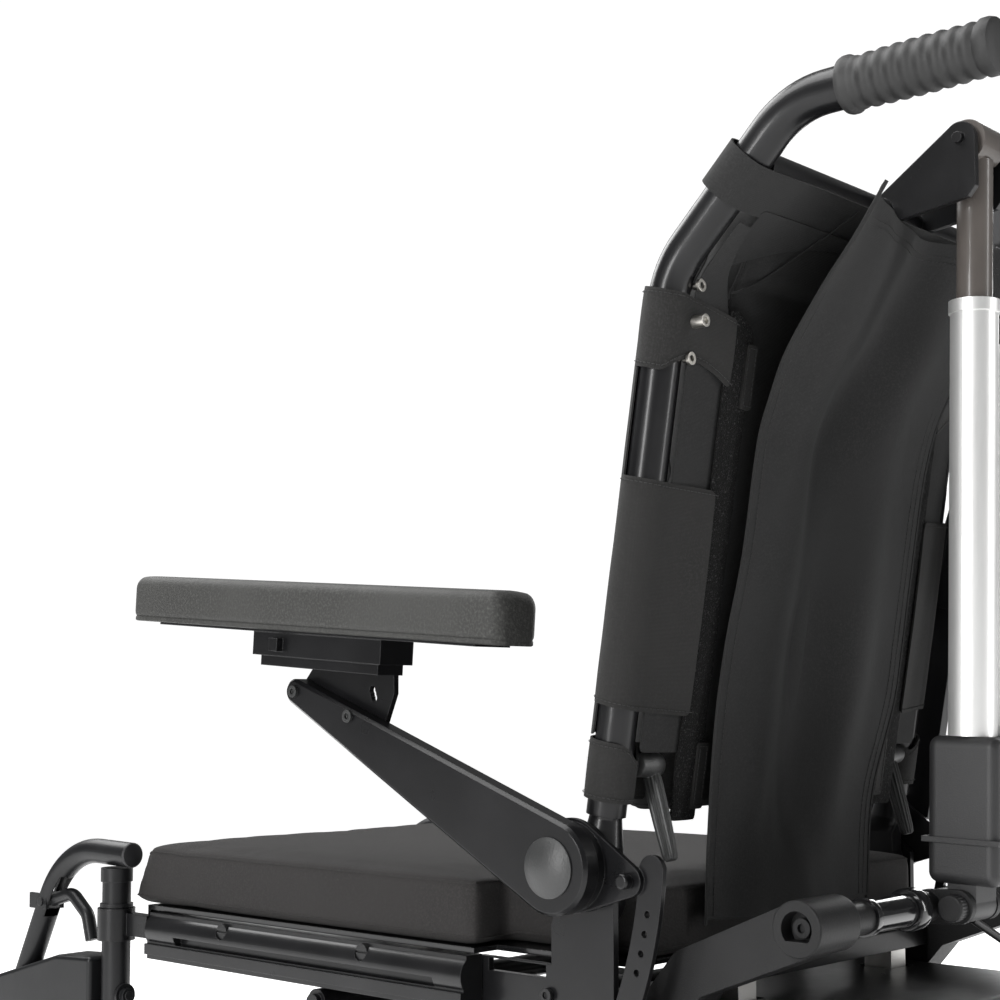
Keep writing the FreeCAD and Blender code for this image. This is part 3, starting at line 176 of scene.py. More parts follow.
def add_floor():
    mesh = bpy.data.meshes.new("floor")
    corners = [(x * FLOOR_REACH, y * FLOOR_REACH, 0) for x, y in ((-1, -1), (1, -1), (1, 1), (-1, 1))]
    mesh.from_pydata(corners, [], [(0, 1, 2, 3)])
    floor = bpy.data.objects.new("floor", mesh)
    scene.collection.objects.link(floor)
    pale = bpy.data.materials.new("pale_floor")
    pale.use_nodes = True
    shader = pale.node_tree.nodes["Principled BSDF"]
    shader.inputs["Base Color"].default_value = (FLOOR_PALE, FLOOR_PALE, FLOOR_PALE, 1)
    shader.inputs["Roughness"].default_value = 0.9
    shader.inputs["Emission Color"].default_value = (1, 1, 1, 1)
    shader.inputs["Emission Strength"].default_value = FLOOR_GLOW
    mesh.materials.append(pale)


def add_studio():
    """A white room that lights the chair less than it shows, and five soft boxes."""
    world = bpy.data.worlds.new("studio")
    world.use_nodes = True
    tree = world.node_tree
    room = tree.nodes["Background"]
    room.inputs["Color"].default_value = (1, 1, 1, 1)
    room.inputs["Strength"].default_value = ROOM_LIGHT
    backdrop = tree.nodes.new("ShaderNodeBackground")
    backdrop.inputs["Color"].default_value = (1, 1, 1, 1)
    backdrop.inputs["Strength"].default_value = BACKDROP_LIGHT
    seen = tree.nodes.new("ShaderNodeLightPath")
    mix = tree.nodes.new("ShaderNodeMixShader")
    tree.links.new(seen.outputs["Is Camera Ray"], mix.inputs[0])
    tree.links.new(room.outputs[0], mix.inputs[1])
    tree.links.new(backdrop.outputs[0], mix.inputs[2])
    tree.links.new(mix.outputs[0], tree.nodes["World Output"].inputs["Surface"])
    scene.world = world
    scene.view_settings.view_transform = "Standard"
    for name, settings in SOFT_BOXES.items():
        add_area_light(name, *settings)


# ---------------------------------------------------------------- materials
class Finish:
    """A procedural material: a Principled shader whose colour, roughness and normal are built up."""

    def __init__(self, name, color, roughness, **fixed):
        self.material = bpy.data.materials.new("look_" + name)
        self.material.use_nodes = True
        self.tree = self.material.node_tree
        self.shader = self.tree.nodes["Principled BSDF"]
        self.color = color
        self.roughness = roughness
        self.shader.inputs["Base Color"].default_value = (*color, 1)
        self.shader.inputs["Roughness"].default_value = roughness
        for word, value in fixed.items():
            self.shader.inputs[word.replace("_", " ")].default_value = value
        self.place = self.add("TexCoord").outputs["Object"]
        self.normal = None
        self.paint = None

    def add(self, kind, settings=(), **inputs):
        node = self.tree.nodes.new("ShaderNode" + kind)
        for word, value in dict(settings).items():
            setattr(node, word, value)
        for word, value in inputs.items():
            self.put(node.inputs[word.replace("_", " ")], value)
        return node

    def put(self, socket, value):
        if isinstance(value, bpy.types.NodeSocket):
            self.tree.links.new(value, socket)
        else:
            socket.default_value = value

    def maths(self, operation, first, second=0.0):
        node = self.add("Math", {"operation": operation})
        self.put(node.inputs[0], first)
        self.put(node.inputs[1], second)
        return node.outputs[0]

    def grain(self, scale, detail=3.0, stretch=(1, 1, 1)):
        """Noise of a scale per metre, drawn out along the axes where stretch is small."""
        mapped = self.add("Mapping", Vector=self.place, Scale=stretch)
        texture = self.add("TexNoise", Vector=mapped.outputs[0], Scale=scale, Detail=detail)
        return texture.outputs["Fac"]

    def cells(self, scale):
        texture = self.add("TexVoronoi", Vector=self.place, Scale=scale)
        return texture.outputs["Distance"]

    def weave(self, thread):
        """The height of a plain weave whose threads lie a distance apart, on faces of any direction."""
        spot = self.add("SeparateXYZ", Vector=self.place)
        facing = self.add("SeparateXYZ", Vector=self.add("NewGeometry").outputs["Normal"])
        height = 0.0
        for axis in range(3):
            wave = self.maths("SINE", self.maths("MULTIPLY", spot.outputs[axis], 2 * math.pi / thread))
            share = self.maths("SUBTRACT", 1.0, self.maths("ABSOLUTE", facing.outputs[axis]))
            height = self.maths("ADD", self.maths("MULTIPLY", wave, share), height)
        return height

    def bump(self, height, distance, strength=1.0):
        node = self.add("Bump", Height=height, Strength=strength, Distance=distance)
        if self.normal:
            self.put(node.inputs["Normal"], self.normal)
        self.normal = node.outputs[0]
        self.put(self.shader.inputs["Normal"], self.normal)
        return self

    def soft_edges(self, radius):
        self.normal = self.add("Bevel", {"samples": 4}, Radius=radius).outputs[0]
        self.put(self.shader.inputs["Normal"], self.normal)
        return self

    def tint(self, fac, color, low=0.4, high=0.7):
        """Mixes another colour in where fac is high."""
        share = self.add("MapRange", Value=fac)
        share.inputs["From Min"].default_value = low
        share.inputs["From Max"].default_value = high
        mix = self.add("Mix", {"data_type": "RGBA"})
        self.put(mix.inputs["Factor"], share.outputs[0])
        self.put(mix.inputs[6], self.paint or (*self.color, 1))
        self.put(mix.inputs[7], (*color, 1))
        self.paint = mix.outputs[2]
        self.put(self.shader.inputs["Base Color"], self.paint)
        return self

    def worn_edges(self, radius, color, amount=0.6):
        """Lighter paint along edges, where the rounded normal leaves the flat one."""
        rounded_normal = self.add("Bevel", {"samples": 4}, Radius=radius).outputs[0]
        plain = self.add("NewGeometry").outputs["Normal"]
        product = self.add("VectorMath", {"operation": "DOT_PRODUCT"})
        self.put(product.inputs[0], rounded_normal)
        self.put(product.inputs[1], plain)
        edge = self.maths("SUBTRACT", 1.0, product.outputs["Value"])
        patchy = self.maths("MULTIPLY", edge, self.grain(60))
        return self.tint(patchy, color, 0.01, 0.12 / amount)

    def varied_roughness(self, fac, spread):
        span = self.add("MapRange", Value=fac)
        span.inputs["To Min"].default_value = self.roughness - spread
        span.inputs["To Max"].default_value = self.roughness + spread
        self.put(self.shader.inputs["Roughness"], span.outputs[0])
        return self


def powder_coat(name, color, roughness, coat, grain_depth=0.00004):
    look = Finish(name, color, roughness, Coat_Weight=coat, Coat_Roughness=0.12, Specular_IOR_Level=0.24)
    look.soft_edges(0.0012)
    look.bump(look.grain(900), grain_depth)
    look.bump(look.grain(120), 0.00008)
    look.tint(look.grain(14), tuple(c * 1.35 + 0.002 for c in color))
    look.worn_edges(0.001, tuple(c * 2.2 + 0.015 for c in color))
    return look.varied_roughness(look.grain(25), 0.07)


def moulded(name, color, roughness, cell=900, depth=0.00006, coat=0.0):
    look = Finish(name, color, roughness, Coat_Weight=coat, Coat_Roughness=0.25)
    look.soft_edges(0.001)
    look.bump(look.cells(cell), depth)
    look.bump(look.grain(300), 0.00005)
    look.tint(look.grain(9), tuple(c * 1.3 + 0.003 for c in color))
    look.worn_edges(0.001, tuple(c * 1.8 + 0.01 for c in color))
    return look.varied_roughness(look.grain(40), 0.06)


def woven(name, color, roughness=0.8, thread=0.0009, sheen=0.03):
    look = Finish(name, color, roughness, Sheen_Weight=sheen, Sheen_Roughness=0.45)
    look.shader.inputs["Specular IOR Level"].default_value = 0.28
    weave = look.weave(thread)
    look.bump(look.grain(220, 2.0), 0.0002)
    look.bump(weave, 0.00007)
    look.tint(look.grain(650, 2.0), tuple(c * 1.9 + 0.002 for c in color), 0.45, 0.8)
    look.tint(look.grain(11), tuple(c * 1.35 for c in color), 0.4, 0.7)
    # painted shade: the colour is darkened where the weave is low, in the hollows between threads
    look.tint(weave, tuple(c * 0.45 for c in color), -0.2, -1.6)
    return look


def fuzzy_loops():
    look = Finish("loop_tape", (0.004, 0.004, 0.004), 0.9, Sheen_Weight=0.02, Sheen_Roughness=0.5)
    look.bump(look.cells(1100), 0.0009)
    look.bump(look.grain(900, 4.0), 0.0009)
    look.shader.inputs["Specular IOR Level"].default_value = 0.15
    return look.tint(look.grain(800, 2.0), (0.05, 0.05, 0.05), 0.58, 0.72)


def polyurethane():
    look = Finish("pad_skin", (0.028, 0.028, 0.0265), 0.66, Specular_IOR_Level=0.3)
    look.bump(look.cells(700), 0.00016)
    look.bump(look.grain(420, 4.0), 0.00012)
    look.tint(look.grain(500, 3.0), (0.055, 0.055, 0.052), 0.45, 0.75)
    look.tint(look.grain(8), (0.04, 0.04, 0.038), 0.4, 0.7)
    return look.varied_roughness(look.grain(30), 0.06)


def bright_metal(name, color, roughness, stretch=(1, 1, 0.02), metallic=1.0):
    look = Finish(name, color, roughness, Metallic=metallic)
    look.soft_edges(0.0006)
    look.bump(look.grain(1500, 2.0, stretch), 0.00002)
    look.tint(look.grain(40, 3.0, stretch), tuple(c * 0.85 for c in color), 0.4, 0.8)
    return look.varied_roughness(look.grain(600, 2.0, stretch), 0.06)


def rubber(name, color, roughness=0.72):
    look = Finish(name, color, roughness)
    look.bump(look.grain(500, 4.0), 0.00012)
    look.tint(look.grain(16), tuple(c * 1.6 + 0.006 for c in color), 0.45, 0.8)
    look.tint(look.grain(90), tuple(c * 0.6 for c in color), 0.5, 0.8)
    return look.varied_roughness(look.grain(35), 0.08)


# For each slot: what makes its finish, then its colour, roughness and whatever else that maker takes.
MAKERS = {
    "frame_black": (powder_coat, (0.0042, 0.0042, 0.0047), 0.3, 0.14),
    "gloss_black": (powder_coat, (0.004, 0.004, 0.0045), 0.12, 0.8, 0.00001),
    "cast_grey": (powder_coat, (0.0065, 0.0065, 0.0068), 0.5, 0.04, 0.00022),
    "rail_black": (powder_coat, (0.006, 0.006, 0.0065), 0.3, 0.2),
    "steel": (bright_metal, (0.56, 0.54, 0.5), 0.3, (1, 1, 1)),
    "light_alloy": (bright_metal, (0.62, 0.61, 0.59), 0.42, (0.05, 1, 1)),
    "silver_tube": (bright_metal, (0.8, 0.8, 0.79), 0.42, (1, 1, 0.02), 0.8),
    "rod_grey": (powder_coat, (0.075, 0.066, 0.06), 0.38, 0.3),
    "housing_grey": (moulded, (0.013, 0.013, 0.0136), 0.5),
    "shroud_black": (moulded, (0.006, 0.006, 0.0065), 0.3, 1200, 0.00002, 0.3),
    "battery_case": (moulded, (0.06, 0.063, 0.07), 0.55),
    "fabric_black": (woven, (0.0125, 0.0125, 0.0125)),
    "fabric_seat": (woven, (0.0165, 0.0152, 0.0148)),
    "strap_fabric": (woven, (0.0135, 0.0132, 0.0128)),
    "lever_grey": (moulded, (0.018, 0.0185, 0.0185), 0.42, 700, 0.0001),
    "grip_rubber": (rubber, (0.009, 0.009, 0.009), 0.6),
    "tyre_black": (rubber, (0.013, 0.013, 0.013)),
    "rim_grey": (moulded, (0.05, 0.05, 0.053), 0.35, 900, 0.00003, 0.3),
    "hanger_charcoal": (powder_coat, (0.005, 0.0052, 0.0058), 0.4, 0.06),
    "cable_black": (rubber, (0.006, 0.006, 0.006), 0.4),
    "joystick_black": (moulded, (0.009, 0.009, 0.01), 0.45),
}
FINISHES = {slot: maker(slot, *values) for slot, (maker, *values) in MAKERS.items()}
FINISHES["pad_grey"] = polyurethane()
LOOPS = fuzzy_loops()
THREAD = woven("thread", (0.03, 0.03, 0.03), 0.8, 0.0004)


DARK_FASTENERS = powder_coat("dark_fasteners", (0.012, 0.012, 0.0125), 0.35, 0.1)


def paint_cad_nodes():
    for part in frame["record"]["subparts"]:
        finish = DARK_FASTENERS if part["node"] == "frame_fasteners" else FINISHES[part["material_slot"]]
        for slot in nodes[part["node"]].material_slots:
            slot.material = finish.material


# ---------------------------------------------------------------- mesh building
class Form:
    """Vertices and faces of one piece, in design millimetres until the piece is made."""

    def __init__(self):
        self.points, self.faces = [], []

    def extend(self, points, faces):
        start = len(self.points)
        self.points += [Vector(p) for p in points]
        self.faces += [[start + i for i in face] for face in faces]
        return self

    def grid(self, rows, closed=False, caps=False):
        """A surface through rows of points; closed joins each row's ends."""
        count = len(rows[0])
        wrap = count if closed else count - 1
        faces = [[r * count + c, r * count + (c + 1) % count,
                  (r + 1) * count + (c + 1) % count, (r + 1) * count + c]
                 for r in range(len(rows) - 1) for c in range(wrap)]
        if caps:
            last = (len(rows) - 1) * count
            faces += [list(range(count))[::-1], [last + i for i in range(count)]]
        return self.extend([p for row in rows for p in row], faces)

    def lathe(self, profile, centre, axis, count=40, flutes=0, flute_depth=0.0):
        """Turns (radius, distance along the axis) pairs round an axis, with optional flutes."""
        axis = Vector(axis).normalized()
        side = axis.orthogonal().normalized()
        other = axis.cross(side)
        rows = []
        for radius, reach in profile:
            row = []
            for step in range(count):
                turn = 2 * math.pi * step / count
                own = radius
                if flutes and radius > 2:
                    own -= flute_depth * (0.5 + 0.5 * math.cos(turn * flutes))
                outward = side * math.cos(turn) + other * math.sin(turn)
                row.append(Vector(centre) + axis * reach + outward * own)
            rows.append(row)
        return self.grid(rows, closed=True, caps=True)

    def tube(self, path, radius, sides=8):
        """A round bar along points close together."""
        rows = []
        across = None
        for index, point in enumerate(path):
            ahead = (path[min(index + 1, len(path) - 1)] - path[max(index - 1, 0)]).normalized()
            across = ahead.orthogonal() if across is None else across - ahead * across.dot(ahead)
            across.normalize()
            up = ahead.cross(across)
            rows.append([point + (across * math.cos(t) + up * math.sin(t)) * radius
                         for t in (2 * math.pi * s / sides for s in range(sides))])
        return self.grid(rows, closed=True, caps=True)

    def stitches(self, path, spacing=3.4, length=2.3, radius=0.32):
        """Thread dashes along a path."""
        travelled, due = 0.0, 0.0
        for start, end in zip(path, path[1:]):
            span = (end - start).length
            if span < 1e-6:
                continue
            ahead = (end - start) / span
            while due <= travelled + span:
                middle = start + ahead * (due - travelled)
                half = ahead * (length / 2)
                self.tube([middle - half, middle - half * 0.6, middle + half * 0.6, middle + half],
                          radius, 5)
                due += spacing
            travelled += span
        return self

    def moved(self, change):
        self.points = [change(p) for p in self.points]
        return self

    def mirrored(self, side):
        if side < 0:
            self.points = [Vector((-p.x, p.y, p.z)) for p in self.points]
            self.faces = [face[::-1] for face in self.faces]
        return self

    def piece(self, name, slot_name, body, sharp=35, finish=None):
        """Makes the piece, in its slot's own finish unless another is given."""
        mesh = bpy.data.meshes.new(name)
        mesh.from_pydata([framed(p) for p in self.points], [], self.faces)
        mesh.update()
        return dressed(name, mesh, finish or FINISHES[slot_name], body, sharp)


def dressed(name, mesh, finish, body, sharp):
    """An object of a mesh with its material, riding on a body."""
    thing = bpy.data.objects.new(name, mesh)
    scene.collection.objects.link(thing)
    mesh.materials.clear()
    mesh.materials.append(finish.material)
    smooth(mesh, sharp)
    if body:
        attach(thing, body)
    return thing


def smooth(mesh, sharp):
    mesh.polygons.foreach_set("use_smooth", [True] * len(mesh.polygons))
    mesh.set_sharp_from_angle(angle=math.radians(sharp))


def bake(thing):
    """Applies a piece's modifiers."""
    graph = bpy.context.evaluated_depsgraph_get()
    mesh = bpy.data.meshes.new_from_object(thing.evaluated_get(graph))
    thing.modifiers.clear()
    thing.data = mesh


def modified(thing, *modifiers):
    """Adds modifiers, each a type with its settings, and applies them in order."""
    for kind, settings in modifiers:
        modifier = thing.modifiers.new(kind.lower(), kind)
        for word, value in settings.items():
            setattr(modifier, word, value)
    bake(thing)
    return thing


def fair_normals(thing):
    shape = bmesh.new()
    shape.from_mesh(thing.data)
    bmesh.ops.recalc_face_normals(shape, faces=shape.faces)
    shape.to_mesh(thing.data)
    shape.free()
    return thing


def inflate(thing, voxel, cap, limit, pressure=4.0, frames=20):
    """Remeshes a closed piece and swells it by cloth simulation.

    limit puts a moved point back in the piece's space."""
    modified(thing, ("REMESH", {"mode": "VOXEL", "voxel_size": voxel}))
    rest = [v.co.copy() for v in thing.data.vertices]
    cloth = thing.modifiers.new("cloth", "CLOTH")
    cloth.settings.use_pressure = True
    cloth.settings.uniform_pressure_force = pressure
    cloth.settings.effector_weights.gravity = 0
    for frame_number in range(1, frames + 1):
        scene.frame_set(frame_number)
    bake(thing)
    scene.frame_set(1)
    for vertex, start in zip(thing.data.vertices, rest):
        step = vertex.co - start
        if step.length > cap:
            step *= cap / step.length
        vertex.co = limit(start + step)
    modified(thing, ("SUBSURF", {"levels": 1, "render_levels": 1}))
    smooth(thing.data, 180)
    return thing


def clinging(thing, path, lift=0.0):
    """A path of design points laid on a piece's surface."""
    laid = []
    for point in path:
        found, place, normal, _ = thing.closest_point_on_mesh(framed(point))
        laid.append(((place + normal * lift * MM) / MM) - Vector((0, DATUM_Y, 0)))
    return laid


def spaced(corners, step, closed=False):
    """Points a step apart along straight runs between corners."""
    ends = corners[1:] + (corners[:1] if closed else [])
    points = []
    for start, end in zip(corners, ends):
        count = max(1, round((end - start).length / step))
        points += [start.lerp(end, i / count) for i in range(count)]
    return points if closed else points + [corners[-1]]


def rounded_outline(corners, radius, steps=6):
    """A closed outline in a plane whose corners are arcs."""
    points = []
    count = len(corners)
    for index, corner in enumerate(corners):
        before, after = Vector(corners[index - 1]), Vector(corners[(index + 1) % count])
        corner = Vector(corner)
        first = corner + (before - corner).normalized() * radius
        last = corner + (after - corner).normalized() * radius
        for step in range(steps + 1):
            t = step / steps
            points.append(first * (1 - t) ** 2 + corner * 2 * t * (1 - t) + last * t ** 2)
    return points


# ---------------------------------------------------------------- seat cushion
SEAT_HALF, SEAT_FRONT, SEAT_REAR = 221, -530, 31
NOTCH_HALF, NOTCH_FRONT = 181, -107
FRONT_LEAN = 26
PUCKER, SWELL = 0.6, 0.4


def seat_outline(shrink):
    half, notch = SEAT_HALF - shrink, NOTCH_HALF - shrink
    front, middle, rear = SEAT_FRONT + shrink, NOTCH_FRONT - shrink, SEAT_REAR - shrink
    return [(-half, front), (half, front), (half, middle), (notch, middle),
            (notch, rear), (-notch, rear), (-notch, middle), (-half, middle)]


def seat_lean(height):
    """How far back the front face stands at a height: it slopes up and back."""
    return FRONT_LEAN * (height - CUSHION_LOW) / (CUSHION_TOP - CUSHION_LOW)


def leaned(x, y, z):
    reach = max(0.0, min(1.0, (SEAT_FRONT + 90 - y) / 90))
    return Vector((x, y + seat_lean(z) * reach, z))


def add_seat_cushion():
    outline = rounded_outline(seat_outline(1), 7)
    form = Form()
    rings = [(CUSHION_LOW + 0.5, 5), (CUSHION_LOW + 4, 1), (CUSHION_LOW + 9, 0), (494, 0),
             (CUSHION_TOP - 8, 0), (CUSHION_TOP - 4.5, 0.8), (CUSHION_TOP - 2.5, 3)]
    rows = []
    for height, inset in rings:
        ring = rounded_outline(seat_outline(1 + inset), 7)
        rows.append([leaned(p.x, p.y, height) for p in ring])
    form.grid(rows, closed=True, caps=True)
    cushion = form.piece("seat_cushion_cover", "fabric_seat", "root")
    fair_normals(cushion)

    def inside(point):
        x, y, z = design(point)
        half = SEAT_HALF if y < NOTCH_FRONT else NOTCH_HALF + 0.8
        x = max(-half, min(half, x))
        z = max(CUSHION_LOW, min(CUSHION_TOP + 3, z))
        y = min(SEAT_REAR, y)
        return at(x, y, z)

    inflate(cushion, 0.006, 0.005, inside)
    for vertex in cushion.data.vertices:
        x, y, z = design(vertex.co)
        if z > CUSHION_TOP - 12:
            edge = min(abs(SEAT_HALF - abs(x)), abs(y - SEAT_FRONT - FRONT_LEAN)) if y < NOTCH_FRONT else 60
            near = math.exp(-(edge / 45) ** 2)
            pucker = noise.noise(Vector((x * 0.012, y * 0.035, 3.0))) if abs(x) > abs(y + 240) * 0.8 else \
                noise.noise(Vector((x * 0.035, y * 0.012, 5.0)))
            broad = noise.noise(Vector((x * 0.006, y * 0.006, 1.0)))
            vertex.co.z += (pucker * PUCKER * near + broad * SWELL) * MM
    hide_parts("seat_cushion")
    seams = Form()
    for height, lift in ((CUSHION_TOP - 3.2, 0.1), (CUSHION_LOW + 5, 0.0)):
        ring = spaced([leaned(p.x, p.y, height) for p in outline], 7, closed=True)
        laid = clinging(cushion, ring, lift)
        seams.tube(laid + laid[:1], 0.75, 6)
    seams.piece("seat_cushion_seams", "fabric_seat", "root")


# ---------------------------------------------------------------- back upholstery
BACK_HALF, BACK_LOW = 150, 560
CHANNEL_GAP, CHANNEL_DEPTH = 84, 7


def add_back_cushion():
    low, bend = along_at(BACK_LOW), BEND.y
    bend_y = FOOT.x + (bend - FOOT.y) * LOWER.x / LOWER.y
    foot_y = FOOT.x + (BACK_LOW - FOOT.y) * LOWER.x / LOWER.y
    over = 1010 - bend
    corners = [(foot_y - 33, BACK_LOW), (bend_y - 33, bend), (bend_y - 33 + 0.7 * over, bend + over),
               (bend_y + 4 + 0.7 * over, bend + over - 14), (bend_y + 10, bend - 14), (foot_y + 20, BACK_LOW)]
    inner = 3.5
    middle = sum((Vector(c) for c in corners), Vector((0, 0))) / len(corners)
    profile = rounded_outline([Vector(c) + (middle - Vector(c)).normalized() * inner for c in corners], 9, 5)
    rows = []
    half = [(60, 1), (138, 1), (145, 0.96), (147, 0.88)]
    for x, inset in [(-x, inset) for x, inset in half[::-1]] + [(0, 1)] + half:
        rows.append([Vector((x, middle.x + (p.x - middle.x) * inset, middle.y + (p.y - middle.y) * inset))
                     for p in profile])
    form = Form().grid(rows, closed=True, caps=True)
    cushion = form.piece("back_cushion_cover", "fabric_black", "backrest")
    fair_normals(cushion)

    def inside(point):
        x, y, z = design(point)
        offset = (y - FOOT.x) * LOWER.y - (z - FOOT.y) * LOWER.x
        if z < bend and offset > 20:
            y -= (offset - 20) / LOWER.y
        return at(max(-BACK_HALF - 3, min(BACK_HALF + 3, x)), y, max(BACK_LOW - 4, z))

    inflate(cushion, 0.006, 0.007, inside)
    for vertex in cushion.data.vertices:
        x, y, z = design(vertex.co)
        offset = (y - FOOT.x) * LOWER.y - (z - FOOT.y) * LOWER.x
        along = (y - FOOT.x) * LOWER.x + (z - FOOT.y) * LOWER.y
        if offset < 0:
            nearest = (along - low) % CHANNEL_GAP
            nearest = min(nearest, CHANNEL_GAP - nearest)
            inset = 1 - math.exp(-((BACK_HALF - abs(x)) / 12) ** 2)
            push = CHANNEL_DEPTH * math.exp(-(nearest / 9) ** 2) * inset * min(1, -offset / 20)
            vertex.co.y += push * LOWER.y * MM
            vertex.co.z -= push * LOWER.x * MM
    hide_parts("back_cushion")
    piping = Form()
    for x in (-BACK_HALF + 3, BACK_HALF - 3):
        edge = spaced([Vector((x, p.x, p.y)) for p in profile], 7, closed=True)
        laid = clinging(cushion, edge, 0.4)
        piping.tube(laid + laid[:1], 1.3, 6)
    piping.piece("back_cushion_piping", "fabric_black", "backrest")


def eased(value, start, end):
    """0 before start, 1 after end, and a smooth step between."""
    t = max(0.0, min(1.0, (value - start) / (end - start)))
    return t * t * (3 - 2 * t)


def wrinkle(x, along, amount):
    """A small uneven height for a fabric surface."""
    slow = noise.noise(Vector((x * 0.02, along * 0.006, 2.0)))
    quick = noise.noise(Vector((x * 0.05, along * 0.03, 7.0)))
    return amount * (slow + 0.4 * quick)


def cloth_piece(form, name, slot_name, thick=1.4, body="backrest", finish=None):
    """A fabric surface given its thickness."""
    thing = form.piece(name, slot_name, None, 60, finish)
    modified(thing, ("SUBSURF", {"levels": 1, "render_levels": 1}),
             ("SOLIDIFY", {"thickness": thick * MM, "offset": 0}))
    smooth(thing.data, 60)
    if body:
        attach(thing, body)
    return thing


def add_front_panels():
    """The upholstery's front sheets, from the back cushion's side round the front of each post."""
    reach = [(151, -19), (163, -21), (175, -21.5), (186, -21), (195, -19.5), (202, -16), (206, -10)]
    for name, side in SIDES.items():
        rows = []
        for step in range(41):
            along = along_at(622) + (along_at(925) - along_at(622)) * step / 40
            rows.append([behind(x, along, offset + wrinkle(x, along, 0.8)) for x, offset in reach])
        panel = cloth_piece(Form().grid(rows).mirrored(side), "front_panel_" + name,
                            "fabric_black", 1.2)


TAB_SPANS = ((856, 901), (574, 621))


def add_side_panels():
    """The sling's side sheets between the posts and the back cushion, with loop tape along their edge."""
    for name, side in SIDES.items():
        rows = []
        top = STRAIGHT + ARC + 34
        low = along_at(614)
        steps = 44
        for step in range(steps + 1):
            along = low + (top - low) * step / steps
            row = []
            for share in range(13):
                t = share / 12
                inner = 128 + 22 * eased(along, along_at(896), along_at(913))
                inner += 27 * eased(along, along_at(905), top)
                x = inner + (187 - inner) * t
                sag = 3.0 * math.sin(math.pi * t) + wrinkle(x, along, 1.2)
                row.append(behind(x, along, 20.2 - 3.6 * t + 0.4 * sag))
            rows.append(row)
        panel = Form().grid(rows).mirrored(side)
        sheet = cloth_piece(panel, "side_panel_" + name, "fabric_black", 1.2)
        tape_rows = []
        tape_top = along_at(921)
        for step in range(61):
            along = along_at(566) + (tape_top - along_at(566)) * step / 60
            round_top = max(0.0, (along - tape_top + 16) / 16)
            inner = 122 + 20 * round_top ** 2.5
            row = []
            for share in range(9):
                x = inner + (150 - inner) * share / 8
                fuzz = 0.5 * noise.noise(Vector((x * 0.7, along * 0.7, 1.5)))
                row.append(behind(x, along, 23.2 + fuzz - 0.7 * abs(share / 4 - 1) ** 4))
            tape_rows.append(row)
        tape = Form().grid(tape_rows).mirrored(side)
        cloth_piece(tape, "loop_tape_" + name, "strap_fabric", 1.8, finish=LOOPS)
        tabs = Form()
        for low_z, high_z in TAB_SPANS:
            bottom, upper = along_at(low_z), along_at(high_z)
            ring = rounded_outline([(118, bottom), (131, bottom), (131, upper), (118, upper)], 2.5, 4)
            front = [behind(p.x, p.y, 23.2) for p in ring]
            back = [behind(p.x, p.y, 25.8) for p in ring]
            tabs.grid([front, back], closed=True, caps=True)
        fair_normals(tabs.mirrored(side).piece("tape_tabs_" + name, "strap_fabric", "backrest"))
        thread = Form()
        for low_z, high_z in TAB_SPANS:
            bottom, upper = along_at(low_z + 2.5), along_at(high_z - 2.5)
            corners = ((120.5, bottom), (128.8, bottom), (128.8, upper), (120.5, upper))
            loop = [behind(x, along, 26.1) for x, along in corners]
            thread.stitches(loop + loop[:1])
        thread.mirrored(side).piece("tape_tab_thread_" + name, "strap_fabric", "backrest", finish=THREAD)


def strap_path(tucked, steps=16):
    """(x, distance behind) of a strap's run: tail, round the outside of the post, and forward.

    A tucked tail passes in front of the clamp's hub."""
    wrap = POST_RADIUS + 2.6
    points = [(147 + (POST_X - 3 - 147) * i / 7, 25.2 - (25.2 - wrap) * i / 7) for i in range(7)]
    if tucked:
        points = [(152 + 3.6 * i, -1.5) for i in range(7)]
    first = 178 if tucked else 100
    for i in range(steps + 1):
        turn = math.radians(first - (first + 90) * i / steps)
        points.append((POST_X + wrap * math.cos(turn), wrap * math.sin(turn)))
    points += [(POST_X - 10, -wrap - 1), (POST_X - 22, -wrap - 3), (POST_X - 34, -wrap - 5)]
    return points


STRAPS = {
    "upper": (lambda t: 868 + 12 * math.sin(math.pi * min(1, t * 2.2)) + 9 * t,
              lambda t: 915 + 12 * min(1, t * 3)),
    "middle": (lambda t: 640 + 7 * t, lambda t: 797 + 5 * t),
    "lower": (lambda t: 577 + 3 * t, lambda t: 617 - 12 * math.exp(-((t - 0.42) / 0.07) ** 2) + 4 * t),
}


def add_straps():
    stand_in = None
    for name, side in SIDES.items():
        for label, (low, high) in STRAPS.items():
            path = strap_path(label == "lower")
            rows = []
            count = 16
            for level in range(count + 1):
                share = level / count
                row = []
                for index, (x, offset) in enumerate(path):
                    t = index / (len(path) - 1)
                    height = low(t) + (high(t) - low(t)) * share
                    along = along_at(height)
                    bulge = 0.8 * math.sin(share * math.pi) * (1 if index < 8 else 0.35)
                    pull = wrinkle(x, along, 0.9) + bulge
                    outward = Vector((x - POST_X, offset))
                    if index > 7 and outward.length:
                        outward.normalize()
                        x, offset = x + outward.x * pull, offset + outward.y * pull
                    else:
                        offset += pull
                    row.append(behind(x, along, offset))
                rows.append(row)
            form = Form().grid(rows).mirrored(side)
            strap = cloth_piece(form, f"strap_{label}_{name}", "strap_fabric", 1.6)
            stand_in = stand_in or strap
            thread = Form()
            for inset in (3.0, -3.0):
                line = []
                for index, (x, offset) in enumerate(path[:-3]):
                    t = index / (len(path) - 1)
                    height = (low(t) if inset > 0 else high(t)) + inset
                    outward = Vector((x - POST_X, offset)).normalized() if index > 7 else Vector((0, 1))
                    lift = 1.35 + (0.2 if index < 8 else 0.1)
                    line.append(behind(x + outward.x * lift, along_at(height), offset + outward.y * lift))
                thread.stitches(line)
            thread.mirrored(side).piece(f"strap_{label}_thread_{name}", "strap_fabric", "backrest",
                                         finish=THREAD)
    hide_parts("back_straps")


COVER_LOW, COVER_HIGH = STRAIGHT + 6, STRAIGHT + ARC + 74


